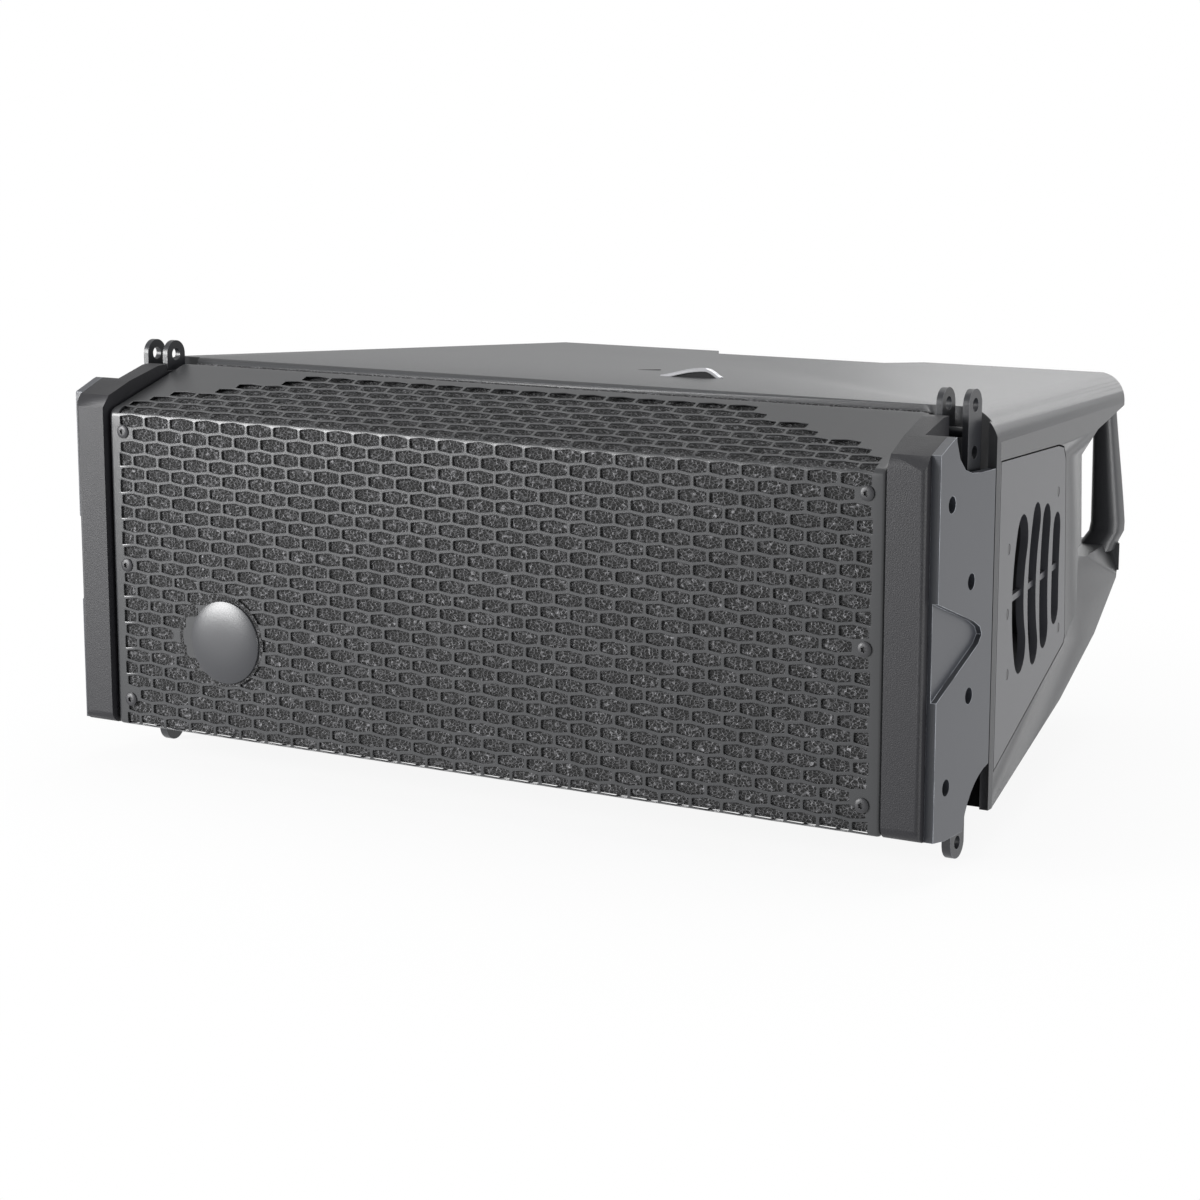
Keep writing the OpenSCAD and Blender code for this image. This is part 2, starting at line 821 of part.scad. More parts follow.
module panel_screws() {
    color([0.3, 0.3, 0.31])
        at_row()
            for (x = [-62, 62])
                for (z = [amp_low + 7, 44, amp_high - 7]) {
                    bar_y(x, panel_back, z, 3.2, 1.8);
                    bar_y(x, rear_face, z, 1.8, 3);
                }
}

channel_in = 5;
cheek_t = 4;
arm_y = 475;
arm_z = 100;
arm_w = 9;
arm_t = 6;
keeper_z = 72;
module rear_channel() {
    color([0.16, 0.16, 0.17])
        at_row()
            difference() {
                union() {
                    block(-channel_in - cheek_t, channel_in + cheek_t, panel_back, panel_back + 3,
                        amp_low + 2, 112);
                    for (x = [-channel_in - cheek_t, channel_in])
                        block(x, x + cheek_t, panel_back + 3, cab_d - 1, amp_low + 2, 112);
                    // keeper of the spare lock pin
                    block(18, 21, panel_back, arm_y + 8, keeper_z - 8, keeper_z + 8);
                }
                bar_x(-20, arm_y, arm_z, 4.05, 40);
                bar_x(-20, arm_y, arm_z - arm_len, pin_hole_r, 32);
                bar_x(channel_in - 1, arm_y, keeper_z, pin_hole_r, 30);
            }
}

module splay_arm() {
    color([0.3, 0.3, 0.32])
        at_row()
            difference() {
                union() {
                    block(-arm_t / 2, arm_t / 2, arm_y - arm_w, arm_y + arm_w, arm_z - arm_len, arm_z);
                    bar_x(-arm_t / 2, arm_y, arm_z, arm_w, arm_t);
                    bar_x(-arm_t / 2, arm_y, arm_z - arm_len, arm_w, arm_t);
                }
                bar_x(-5, arm_y, arm_z, 4.05, 10);
                for (i = [0:3])
                    bar_x(-5, arm_y, arm_z - arm_len + i * 14, pin_hole_r, 10);
            }
}

module arm_pivot_pin() {
    color([0.5, 0.5, 0.52])
        at_row() {
            bar_x(-channel_in - cheek_t - 3, arm_y, arm_z, 4, 2 * channel_in + 2 * cheek_t + 6);
            bar_x(-channel_in - cheek_t - 3, arm_y, arm_z, 6.5, 2.9);
            bar_x(channel_in + cheek_t + 0.1, arm_y, arm_z, 6.5, 2.9);
        }
}

module lock_pin() {
    color([0.65, 0.65, 0.67])
        at_row() {
            bar_x(channel_in + 1, arm_y, keeper_z, 4, 26);
            bar_x(24, arm_y, keeper_z, 7, 8);
            bar_x(32, arm_y, keeper_z, 3, 3);
        }
}

cabinet_shell();
front_collar();
front_baffle();
grille();
grille_foam();
grille_screws();
badge();
side_frame(false);  // left_side_frame
side_frame(true);  // right_side_frame
rigging_plate(false);  // left_rigging_plate
rigging_plate(true);  // right_rigging_plate
lug_bar(false);  // left_lug_bar
lug_bar(true);  // right_lug_bar
front_link(false);  // left_front_link
front_link(true);  // right_front_link
vent_panel(false);  // left_vent_panel
vent_panel(true);  // right_vent_panel
vent_screws();
port_duct(false);  // left_port_duct
port_duct(true);  // right_port_duct
handle_grip(false);  // left_handle_grip
handle_grip(true);  // right_handle_grip
woofer_basket(false);  // left_woofer_basket
woofer_basket(true);  // right_woofer_basket
woofer_magnet(false);  // left_woofer_magnet
woofer_magnet(true);  // right_woofer_magnet
woofer_cone(false);  // left_woofer_cone
woofer_cone(true);  // right_woofer_cone
woofer_surround(false);  // left_woofer_surround
woofer_surround(true);  // right_woofer_surround
woofer_spider(false);  // left_woofer_spider
woofer_spider(true);  // right_woofer_spider
voice_coil(false);  // left_voice_coil
voice_coil(true);  // right_voice_coil
woofer_screws();
waveguide();
compression_driver();
hf_diaphragm();
internal_brace();
acoustic_lining();
amp_panel();
amp_heatsink();
amp_board();
dsp_board();
power_supply();
mains_inlet();
mains_link();
xlr_input();
xlr_output();
xlr_latch();
level_knob();
preset_button();
power_switch();
status_leds();
panel_screws();
rear_channel();
splay_arm();
arm_pivot_pin();
lock_pin();
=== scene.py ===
# %% [markdown]
# # A flown loudspeaker element
# The exact parts come in as the frame. This lesson dresses them: every visible part gets softened
# edges, real holes and a finish, and rides on the body that moves it.

# %% Open the frame
import json
import math

import bmesh
import bpy
from mathutils import Matrix, Vector

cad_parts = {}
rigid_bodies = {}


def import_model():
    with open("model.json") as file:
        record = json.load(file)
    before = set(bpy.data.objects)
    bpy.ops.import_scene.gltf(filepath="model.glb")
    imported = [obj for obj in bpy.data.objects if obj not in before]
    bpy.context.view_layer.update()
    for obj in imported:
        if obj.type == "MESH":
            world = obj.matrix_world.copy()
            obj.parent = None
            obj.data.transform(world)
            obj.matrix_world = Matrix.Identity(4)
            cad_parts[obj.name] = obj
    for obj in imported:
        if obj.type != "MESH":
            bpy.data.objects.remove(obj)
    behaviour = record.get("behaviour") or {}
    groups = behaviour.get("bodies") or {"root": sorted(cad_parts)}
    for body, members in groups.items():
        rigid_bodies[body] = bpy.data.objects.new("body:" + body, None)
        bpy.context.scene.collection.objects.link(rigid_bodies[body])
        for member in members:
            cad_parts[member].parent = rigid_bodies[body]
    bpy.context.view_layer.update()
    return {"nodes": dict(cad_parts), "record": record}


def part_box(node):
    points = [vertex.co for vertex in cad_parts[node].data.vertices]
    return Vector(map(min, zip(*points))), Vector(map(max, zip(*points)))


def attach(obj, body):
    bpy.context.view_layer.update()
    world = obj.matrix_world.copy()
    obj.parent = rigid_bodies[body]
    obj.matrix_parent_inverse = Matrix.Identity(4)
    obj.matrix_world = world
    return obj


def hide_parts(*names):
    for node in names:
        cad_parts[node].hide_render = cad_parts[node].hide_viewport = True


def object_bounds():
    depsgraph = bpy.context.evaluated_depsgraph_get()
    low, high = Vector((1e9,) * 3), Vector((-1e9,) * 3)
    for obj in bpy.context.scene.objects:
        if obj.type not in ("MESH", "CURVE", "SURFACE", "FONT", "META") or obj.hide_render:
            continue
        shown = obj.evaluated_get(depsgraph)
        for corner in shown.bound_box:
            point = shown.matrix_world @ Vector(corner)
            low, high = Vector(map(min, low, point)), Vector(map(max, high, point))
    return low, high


for leftover in list(bpy.data.objects):
    bpy.data.objects.remove(leftover)
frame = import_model()
nodes = frame["nodes"]
record = frame["record"]
body_of_node = {n: b for b, members in record["behaviour"]["bodies"].items() for n in members}
slot_of_node = {s["node"]: s["material_slot"] for s in record["subparts"]}

# %% [markdown]
# Sizes are easiest to think of in millimetres from the middle of the grille's face: x to the right,
# y to the rear, z up. One helper turns such a place into the frame's metres.

# %% Places in millimetres
MM = 0.001
PLATE_HALF_HEIGHT = 0.110
FACE_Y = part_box("grille")[0].y
MID_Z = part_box("right_rigging_plate")[0].z + PLATE_HALF_HEIGHT


def place(x, y, z):
    return Vector((x * MM, FACE_Y + y * MM, MID_Z + z * MM))


def local(point):
    """The same place back in millimetres from the middle of the grille's face."""
    return point.x / MM, (point.y - FACE_Y) / MM, (point.z - MID_Z) / MM


print("grille face at y", round(FACE_Y, 4), "middle height", round(MID_Z, 4))

# %% [markdown]
# A finished mesh becomes a piece in one step: shade it smooth by angle, hang it on the body that
# carries it, hide the exact parts it stands for and note which finish slot it belongs to.

# %% Turn a mesh into a piece
pieces = {}


def make_piece(name, bm, node, stands_for=(), smooth_angle=32, slot=None):
    mesh = bpy.data.meshes.new(name)
    bm.to_mesh(mesh)
    bm.free()
    piece = bpy.data.objects.new(name, mesh)
    bpy.context.scene.collection.objects.link(piece)
    mesh.shade_smooth()
    mesh.set_sharp_from_angle(angle=math.radians(smooth_angle))
    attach(piece, body_of_node[node])
    if stands_for:
        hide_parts(*stands_for)
    pieces[name] = slot or slot_of_node[node]
    return piece


def keep_flats_flat(piece):
    """Lets the large faces set the shading, so that only the narrow rounds look round."""
    flat = piece.modifiers.new("flat_faces_stay_flat", "WEIGHTED_NORMAL")
    flat.mode = "FACE_AREA"
    flat.weight = 100
    flat.keep_sharp = True


print("pieces can be made")

# %% [markdown]
# Edges could be rounded with a Bevel modifier. The operator is used instead, because it gives back
# the faces it made: they can be marked in a layer, so that a finish paints them bright. On most parts
# this stands for handling rubbing them, as on the real thing; on the rigging plates it is painted
# highlight.

# %% Rounds and blocks


def new_bmesh():
    bm = bmesh.new()
    bm.faces.layers.float.new("wear_and_highlight")
    return bm


def everything(bm):
    return bm.verts[:] + bm.edges[:] + bm.faces[:]


def block(size, middle):
    """A plain block, from its size and the place of its middle."""
    bm = new_bmesh()
    bmesh.ops.create_cube(bm, size=1.0)
    bmesh.ops.scale(bm, verts=bm.verts, vec=[length * MM for length in size])
    bmesh.ops.translate(bm, verts=bm.verts, vec=place(*middle))
    return bm


def round_off(bm, geom, width, segments, affect="EDGES", clamp=True):
    """Rounds edges, or the corners of flat faces, and gives back the new faces."""
    return bmesh.ops.bevel(
        bm, geom=geom, offset=width * MM, offset_type="OFFSET", segments=segments, profile=0.5,
        affect=affect, clamp_overlap=clamp, material=-1,
    )["faces"]


print("blocks and rounds ready")

# %% [markdown]
# ## The grille
# The real sheet is punched with rows of stretched six-sided holes, each row half a step along, then
# folded back along the top and bottom. Cutting hundreds of holes with booleans would be slow and
# leave poor faces, so it is made as the real one is: tile flat cells, shrink the cells that are
# holes, trim the blank, fold it, and only then give it thickness. Folding after punching keeps the
# rows in step across the folds. The rows on the slope end in steps, counted here in half holes.

# %% Grille lattice
HOLE_STEP_X = 21.5
ROW_STEP = 8.92
FIRST_ROW_Z = 110.42
CELL_SIDE = 3.72
TILED_HALF_W = 292
TILED_ROWS = range(-11, 30)
PUNCHED_ROWS = range(-7, 26)
FULL_ROW_END = 26
SLOPE_ROW_ENDS = {-1: 25, -2: 24, -3: 23, -4: 20, -5: 19, -6: 16, -7: 15}
SCREW_X, SCREW_ROWS, SCREW_CLEARANCE = 276.0, (94.0, 3.0, -90.0), 8.2
UNPUNCHED_MIDDLE, UNPUNCHED_HALF = (-196.0, -41.0), (30.0, 26.0)


def is_hole(row, x, z):
    row_end = SLOPE_ROW_ENDS.get(row, FULL_ROW_END) * HOLE_STEP_X / 2
    if abs(x) > row_end + 1 or row not in PUNCHED_ROWS:
        return False
    if any(math.hypot(abs(x) - SCREW_X, z - screw_z) < SCREW_CLEARANCE for screw_z in SCREW_ROWS):
        return False
    across = (x - UNPUNCHED_MIDDLE[0]) / UNPUNCHED_HALF[0]
    upwards = (z - UNPUNCHED_MIDDLE[1]) / UNPUNCHED_HALF[1]
    return math.hypot(across, upwards) > 1


blank = new_bmesh()
hole_mark = blank.faces.layers.int.new("hole")
wear_and_highlight_mark = blank.faces.layers.float["wear_and_highlight"]
upright = Matrix.Rotation(math.radians(90), 4, "X")
regular_side = ROW_STEP / 3
longer_side = CELL_SIDE - regular_side
stretch = Matrix.Diagonal(
    (HOLE_STEP_X * MM / (2 * math.cos(math.radians(30))), 2 * regular_side * MM, 1, 1)
)
for row in TILED_ROWS:
    z = FIRST_ROW_Z - ROW_STEP * row
    shift = HOLE_STEP_X / 2 if row % 2 else 0.0
    for column in range(-14, 15):
        x = shift + HOLE_STEP_X * column
        if abs(x) > TILED_HALF_W:
            continue
        cell = bmesh.ops.create_circle(
            blank, cap_ends=True, radius=1, segments=6,
            matrix=Matrix.Translation(place(x, 0, z)) @ upright @ stretch,
        )
        # the real cells have longer upright sides than a regular one
        for v in cell["verts"]:
            off = local(v.co)[2] - z
            if abs(abs(off) - regular_side) < 0.5:
                v.co.z += math.copysign(longer_side * MM, off)
            else:
                v.co.z -= math.copysign(longer_side * MM, off)
        cell["verts"][0].link_faces[0][hole_mark] = 1 if is_hole(row, x, z) else 0
bmesh.ops.remove_doubles(blank, verts=blank.verts, dist=4e-5)
hole_faces = [f for f in blank.faces if f[hole_mark] == 1]
print("cells", len(blank.faces), "holes", len(hole_faces))

# %% [markdown]
# Each hole keeps half a web from its neighbours, gets rounded corners and a small pressed rim that
# catches the light. The corners at its two ends take a rounder bevel than those above and below.

# %% Shrink the holes, round their corners, press their rims
WEB = 1.45
RIM = 0.3
END_CORNERS, SIDE_CORNERS = (True, 3.0, 2), (False, 3.2, 1)
HOLE_AREA, RIMMED_HOLE_AREA = 40, 30
NEAR_THE_ENDS = 5


def holes_over(area):
    return [f for f in blank.faces if f[hole_mark] == 1 and f.calc_area() > area * MM * MM]


def corners_of(faces, at_ends):
    """The corners at the two ends of each hole, or those at its top and bottom."""
    found = set()
    for f in faces:
        middle = f.calc_center_median()
        found.update(v for v in f.verts if (abs(v.co.x - middle.x) > NEAR_THE_ENDS * MM) == at_ends)
    return list(found)


webs = bmesh.ops.inset_individual(blank, faces=hole_faces, thickness=WEB * MM / 2, use_even_offset=True)
for f in webs["faces"]:
    f[hole_mark] = 0
for at_ends, width, segments in (END_CORNERS, SIDE_CORNERS):
    corners = corners_of(holes_over(HOLE_AREA), at_ends)
    rounded = round_off(blank, corners, width, segments, affect="VERTICES")
    # each corner's patch is flat, so its small faces are joined into one
    patches = [f for f in rounded if f.is_valid and f.calc_area() < RIMMED_HOLE_AREA * MM * MM]
    bmesh.ops.dissolve_faces(blank, faces=patches, use_verts=False)
rims = bmesh.ops.inset_individual(
    blank, faces=holes_over(HOLE_AREA), thickness=RIM * MM, depth=-RIM * MM, use_even_offset=True
)
for f in rims["faces"]:
    f[hole_mark] = 2
    f[wear_and_highlight_mark] = 1.0
for f in blank.faces:
    if f[hole_mark] == 1 and f.calc_area() <= RIMMED_HOLE_AREA * MM * MM:
        f[hole_mark] = 0
print("holes", len(holes_over(RIMMED_HOLE_AREA)), "faces", len(blank.faces))

# %% [markdown]
# The blank is cut straight on all four sides, as shears would. The cut ends run through holes, so a
# plain margin is grown on at the left and right by extruding the cut edge: flat at first, then bent
# back in a small round, which leaves the dark line between the sheet and the side castings.

# %% Trim the blank and add its margins
HOLES_HALF_W = 279.8
SHEET_HALF_W = 288.6
BLANK_TOP = 187.6
BLANK_LOW = -147.4
EDGE_BEND = ((1.3, 0.3), (1.1, 0.9), (0.9, 1.9), (0.0, 1.6))
flat_margin = SHEET_HALF_W - HOLES_HALF_W - sum(out for out, _ in EDGE_BEND)


def cut_edge(side):
    reach = max(side * v.co.x for v in blank.verts)
    return [
        e for e in blank.edges
        if e.is_boundary and all(side * v.co.x > reach - 1e-5 for v in e.verts)
    ]


for at, normal in (
    ((HOLES_HALF_W, 0, 0), (1, 0, 0)), ((-HOLES_HALF_W, 0, 0), (-1, 0, 0)),
    ((0, 0, BLANK_TOP), (0, 0, 1)), ((0, 0, BLANK_LOW), (0, 0, -1)),
):
    bmesh.ops.bisect_plane(
        blank, geom=everything(blank), dist=1e-6, plane_co=place(*at), plane_no=normal, clear_outer=True
    )
for v in blank.verts:
    if abs(abs(v.co.x) - HOLES_HALF_W * MM) < 1e-5:
        v.co.y = FACE_Y
for side in (-1, 1):
    rim = cut_edge(side)
    for out, back in ((flat_margin, 0.0), *EDGE_BEND):
        grown = bmesh.ops.extrude_edge_only(blank, edges=rim)["geom"]
        moved = [g for g in grown if isinstance(g, bmesh.types.BMVert)]
        for g in grown:
            if isinstance(g, bmesh.types.BMFace):
                g[hole_mark] = 0
                g[wear_and_highlight_mark] = 0.0
        rim = [
            g for g in grown
            if isinstance(g, bmesh.types.BMEdge) and g.is_boundary and all(v in moved for v in g.verts)
        ]
        bmesh.ops.translate(blank, verts=moved, vec=(side * out * MM, back * MM, 0))
bmesh.ops.delete(blank, geom=[f for f in blank.faces if f[hole_mark] == 1], context="FACES_ONLY")
print("blank", len(blank.faces), "faces")

# %% [markdown]
# A bend needs edges to turn on, so lines are cut across the blank at each fold: a slope and a lip
# above, a short return below.

# %% Cut the fold lines
# the height of each fold line on the flat blank, and its angle
SLOPE_LINE, SLOPE_ANGLE = 107.5, 70.5
LIP_LINE, LIP_ANGLE = 183.2, 96.0
RETURN_LINE, RETURN_ANGLE = -107.5, 88.0


def fold(line, angle, half=2.2, turns=4):
    """Cuts the lines of one fold; a negative height lies below the middle."""
    sign = 1 if line > 0 else -1
    for i in range(turns + 1):
        z = line + sign * half * (2 * i / turns - 1)
        bmesh.ops.bisect_plane(
            blank, geom=everything(blank), dist=1e-6, plane_co=place(0, 0, z), plane_no=(0, 0, 1)
        )
    return abs(line), math.radians(angle), half


folds_up = [fold(SLOPE_LINE, SLOPE_ANGLE, half=3.8, turns=6), fold(LIP_LINE, LIP_ANGLE, half=1.5)]
folds_down = [fold(RETURN_LINE, RETURN_ANGLE)]
print("blank with fold lines", len(blank.faces), "faces")

# %% [markdown]
# Folding: each point keeps its distance from the middle as measured along the sheet. That distance is
# laid off along the folded outline, straight up to a fold, round through it, then straight again. The
# margins close in a little towards the rear, so that they stay between the side castings.

# %% Fold the blank
SHEET_TAPER = 7.0 / 87.0


def along(distance, folds):
    """Where a distance along the blank ends up: height, depth and the direction there."""
    height = depth = turned_by = at = 0.0
    for line, angle, half in folds:
        start, stop = line - half, line + half
        flat = min(distance, start) - at
        height += flat * math.cos(turned_by)
        depth += flat * math.sin(turned_by)
        if distance <= start:
            return height, depth, turned_by
        radius = 2 * half / angle
        swing = (min(distance, stop) - start) / radius
        height += radius * (math.sin(turned_by + swing) - math.sin(turned_by))
        depth += radius * (math.cos(turned_by) - math.cos(turned_by + swing))
        turned_by += swing
        if distance <= stop:
            return height, depth, turned_by
        at = stop
    rest = distance - at
    return height + rest * math.cos(turned_by), depth + rest * math.sin(turned_by), turned_by


for v in blank.verts:
    x, inward, z = local(v.co)
    height, depth, turned_by = along(abs(z), folds_up if z > 0 else folds_down)
    height -= inward * math.sin(turned_by)
    depth += inward * math.cos(turned_by)
    if abs(x) > HOLES_HALF_W + 0.1:
        x -= math.copysign(SHEET_TAPER * depth, x)
    v.co = place(x, depth, math.copysign(height, z))
bmesh.ops.recalc_face_normals(blank, faces=blank.faces)
widest_face = max(blank.faces, key=lambda f: abs(f.normal.y) * f.calc_area())
if widest_face.normal.y > 0:
    bmesh.ops.reverse_faces(blank, faces=blank.faces)
print("folded", len(blank.faces), "faces")

# %% [markdown]
# The folded skin becomes a steel sheet with a Solidify modifier, which also gives every hole its
# wall. Its borders are set sharp first, or the walls would tilt the shading of the face.

# %% Give the sheet its thickness
SHEET_THICKNESS = 1.2
grille = make_piece("grille_look", blank, "grille", stands_for=["grille"], smooth_angle=28)
faces_at_edge = [0] * len(grille.data.edges)
for corner in grille.data.loops:
    faces_at_edge[corner.edge_index] += 1
for edge, faces in zip(grille.data.edges, faces_at_edge):
    if faces == 1:
        edge.use_edge_sharp = True
thick = grille.modifiers.new("sheet", "SOLIDIFY")
thick.thickness = SHEET_THICKNESS * MM
thick.offset = -1
thick.use_even_offset = False
keep_flats_flat(grille)
solid_sheet = grille.evaluated_get(bpy.context.evaluated_depsgraph_get()).to_mesh()
triangles = sum(len(f.vertices) - 2 for f in solid_sheet.polygons)
print("grille", len(grille.data.polygons), "faces, thick sheet", triangles, "triangles")

# %% [markdown]
# ## Screws
# A pan head with a six-lobed socket: a disc raised in four ever smaller steps makes the dome, and its
# middle is sunk. The star of the socket comes from moving points of the last ring in and out, which
# is simpler than cutting a star out of a dome.

# %% Screw heads
HEAD_RADIUS, HEAD_HEIGHT, HEAD_Y, LOBES = 4.6, 1.6, -0.05, 6
# how far each ring draws in and climbs, in shares of the head's radius and height
HEAD_STEPS = ((0.0, 0.45), (0.14, 0.30), (0.20, 0.17), (0.22, 0.08))
LOBE_OUT, LOBE_IN, SOCKET_DEPTH = 0.95, 0.7, 0.75


def add_head(bm, at, out):
    """Adds one head that stands on a place and points outwards."""
    turn = out.to_track_quat("Z", "Y").to_matrix().to_4x4()
    wear_and_highlight = bm.faces.layers.float["wear_and_highlight"]
    disc = bmesh.ops.create_circle(
        bm, cap_ends=True, radius=HEAD_RADIUS * MM, segments=LOBES * 4,
        matrix=Matrix.Translation(at) @ turn,
    )
    face = disc["verts"][0].link_faces[0]
    if face.normal.dot(out) < 0:
        face.normal_flip()
    for drawn_in, up in HEAD_STEPS:
        face = bmesh.ops.extrude_discrete_faces(bm, faces=[face])["faces"][0]
        centre = face.calc_center_median()
        size = max((v.co - centre).length for v in face.verts)
        share = (size - drawn_in * HEAD_RADIUS * MM) / size
        for v in face.verts:
            v.co = centre + (v.co - centre) * share + out * (up * HEAD_HEIGHT * MM)
        for near in {f for e in face.edges for f in e.link_faces}:
            near[wear_and_highlight] = 1.0
    face = bmesh.ops.extrude_discrete_faces(bm, faces=[face])["faces"][0]
    centre = face.calc_center_median()
    for i, v in enumerate(face.verts):
        v.co = centre + (v.co - centre) * (LOBE_OUT if i % 4 < 2 else LOBE_IN)
    face = bmesh.ops.extrude_discrete_faces(bm, faces=[face])["faces"][0]
    for v in face.verts:
        v.co -= out * (HEAD_HEIGHT * MM * SOCKET_DEPTH)
    face[wear_and_highlight] = 0.0


heads = new_bmesh()
for side in (-1, 1):
    for screw_z in SCREW_ROWS:
        add_head(heads, place(side * SCREW_X, HEAD_Y, screw_z), Vector((0, -1, 0)))
make_piece("grille_screw_heads", heads, "grille_screws", stands_for=["grille_screws"])
print("grille screws dressed")

# %% [markdown]
# ## Badge
# A bare domed disc in a shallow oval clearing. Both are turned: a half outline is spun once round
# and closed, which gives a true round with few points to choose.

# %% Turned parts
BADGE_MIDDLE, CLEARING_MIDDLE = (-193.0, 0, -42.0), (-197, 0, -41)
TURNING_STEPS = 64
# radius and height of each point of a half outline
BADGE_OUTLINE = (
    (0, 0.1), (28, 0.1), (28, 0.7), (27.7, 1.2), (27.0, 1.45), (25, 2.0), (21, 2.75), (15, 3.4),
    (8, 3.72), (0, 3.8),
)
CLEARING_OUTLINE = (
    (0, -0.6), (33.6, -0.6), (34.6, -0.4), (35, 0.0), (34.2, 0.25), (33, 0.1), (31, -0.1), (0, -0.1),
)
CLEARING_SQUEEZE = 0.9


def turned(outline, middle, squeeze=1.0):
    """Spins (radius, height) points about an axis to the front; squeeze lowers the round."""
    bm = new_bmesh()
    centre = place(*middle)
    verts = [bm.verts.new(centre + Vector((r * MM, -h * MM, 0))) for r, h in outline]
    edges = [bm.edges.new(pair) for pair in zip(verts, verts[1:])]
    bmesh.ops.spin(
        bm, geom=verts + edges, cent=centre, axis=(0, 1, 0), dvec=(0, 0, 0),
        angle=math.radians(360), steps=TURNING_STEPS, use_merge=True,
    )
    bmesh.ops.remove_doubles(bm, verts=bm.verts, dist=1e-6)
    for v in bm.verts:
        v.co.z = centre.z + (v.co.z - centre.z) * squeeze
    bmesh.ops.recalc_face_normals(bm, faces=bm.faces)
    return bm


make_piece("badge_disc", turned(BADGE_OUTLINE, BADGE_MIDDLE), "badge", stands_for=["badge"])
clearing = turned(CLEARING_OUTLINE, CLEARING_MIDDLE, CLEARING_SQUEEZE)
make_piece("badge_clearing", clearing, "grille_foam")
print("badge made")

# %% [markdown]
# The foam is seen through every hole. A strip of the same foam closes the fold at the bottom. A block
# with rounded edges is all it needs.

# %% Lower edge of the foam
strip = block((566, 11, 1.4), (0, 7.4, -105.6))
round_off(strip, strip.edges[:], 0.4, 2)
make_piece("foam_lower_edge", strip, "grille_foam")
print("foam closed at the bottom")

# %% [markdown]
# ## Softened copies
# Nothing moulded, cast or cut has a perfectly sharp edge. An exact part comes in as loose triangles,
# so a copy is joined and its flat faces are made whole, and only then are its sharp edges rounded.

# %% Copy and soften one part
JOIN_WITHIN = 0.02
FLAT_WITHIN = math.radians(0.8)
ROUND_OVER = math.radians(38)


def joined_copy(node):
    """The exact part as one joined mesh with its flat faces whole again."""
    bm = bmesh.new()
    bm.from_mesh(nodes[node].data)
    bmesh.ops.remove_doubles(bm, verts=bm.verts, dist=JOIN_WITHIN * MM)
    bmesh.ops.dissolve_limit(
        bm, angle_limit=FLAT_WITHIN, verts=bm.verts, edges=bm.edges, use_dissolve_boundaries=False
    )
    bm.faces.layers.float.new("wear_and_highlight")
    return bm


def sharp_edges(bm, shortest):
    return [
        e for e in bm.edges
        if len(e.link_faces) == 2 and e.calc_length() > shortest and e.calc_face_angle(0) > ROUND_OVER
    ]


def softened_part(node, width, before=None):
    """A copy of the exact part with its sharp edges rounded and marked for the bright edge colour:
    wear, and painted highlight on the plates.
    """
    bm = joined_copy(node)
    if before:
        before(bm)
    edges = sharp_edges(bm, width * MM * 0.2)
    wear_and_highlight = bm.faces.layers.float["wear_and_highlight"]
    for f in round_off(bm, edges, width, 2):
        f[wear_and_highlight] = 1.0
    print(f"  {node}: {len(edges)} edges rounded, {len(bm.faces)} faces")
    keep_flats_flat(make_piece(node + "_look", bm, node, stands_for=[node]))


print("parts can be softened")

# %% [markdown]
# The rounds have the width that each part's making would leave: wide on mouldings, narrow on sheet
# steel. The roof's front edge rolls down with a much larger round than the rest, so it goes first.

# %% Soften the exact parts
ROOF_FRONT_Y, ROOF_LEAST_Z, ROOF_NEAR = 84.0, 130, 0.6
ROOF_ROLL, ROOF_CORNER = 9.0, 0.7
ROUNDS = {
    "cabinet_shell": 1.6, "front_collar": 0.8, "front_baffle": 0.8,
    "left_side_frame": 2.6, "right_side_frame": 2.6,
    "left_rigging_plate": 1.1, "right_rigging_plate": 1.1,
    "left_lug_bar": 0.8, "right_lug_bar": 0.8, "left_front_link": 0.8, "right_front_link": 0.8,
    "left_vent_panel": 0.9, "right_vent_panel": 0.9, "left_port_duct": 0.6, "right_port_duct": 0.6,
    "rear_channel": 0.8, "splay_arm": 0.8, "arm_pivot_pin": 0.5, "lock_pin": 0.4,
    "amp_panel": 0.8, "amp_heatsink": 0.35, "mains_inlet": 0.4, "mains_link": 0.4,
    "xlr_input": 0.4, "xlr_output": 0.4, "xlr_latch": 0.3, "level_knob": 0.5, "preset_button": 0.3,
    "power_switch": 0.3, "waveguide": 0.8, "compression_driver": 0.8,
}


def on_roof_front(v):
    _, y, z = local(v.co)
    return abs(y - ROOF_FRONT_Y) < ROOF_NEAR and z > ROOF_LEAST_Z


def roll_roof_front(bm):
    front = [
        e for e in bm.edges
        if len(e.link_faces) == 2 and e.calc_face_angle(0) > ROOF_CORNER
        and all(map(on_roof_front, e.verts))
    ]
    rolled = round_off(bm, front, ROOF_ROLL, 6, clamp=False)
    print("  roof front edge:", len(front), "edges,", len(rolled), "faces")


for node, width in ROUNDS.items():
    softened_part(node, width, before=roll_roof_front if node == "cabinet_shell" else None)

# %% [markdown]
# ## Handle posts
# Each rear corner is a post that a hand closes round. It could be lofted between outlines. One block
# is simpler: its upright edges are rounded and it is cut into short lengths, ready to be shaped.

# %% Blocks for the posts
POST_IN, POST_OUT = 231.0, 254.0
POST_FRONT, POST_REAR = 466.0, 489.6
POST_LOW, POST_HIGH = -9.0, 96.6
OUTER_ROUND, INNER_ROUND = (9, 6), (7, 5)
POST_LENGTHS = 16
LEAST_UPRIGHT = 10


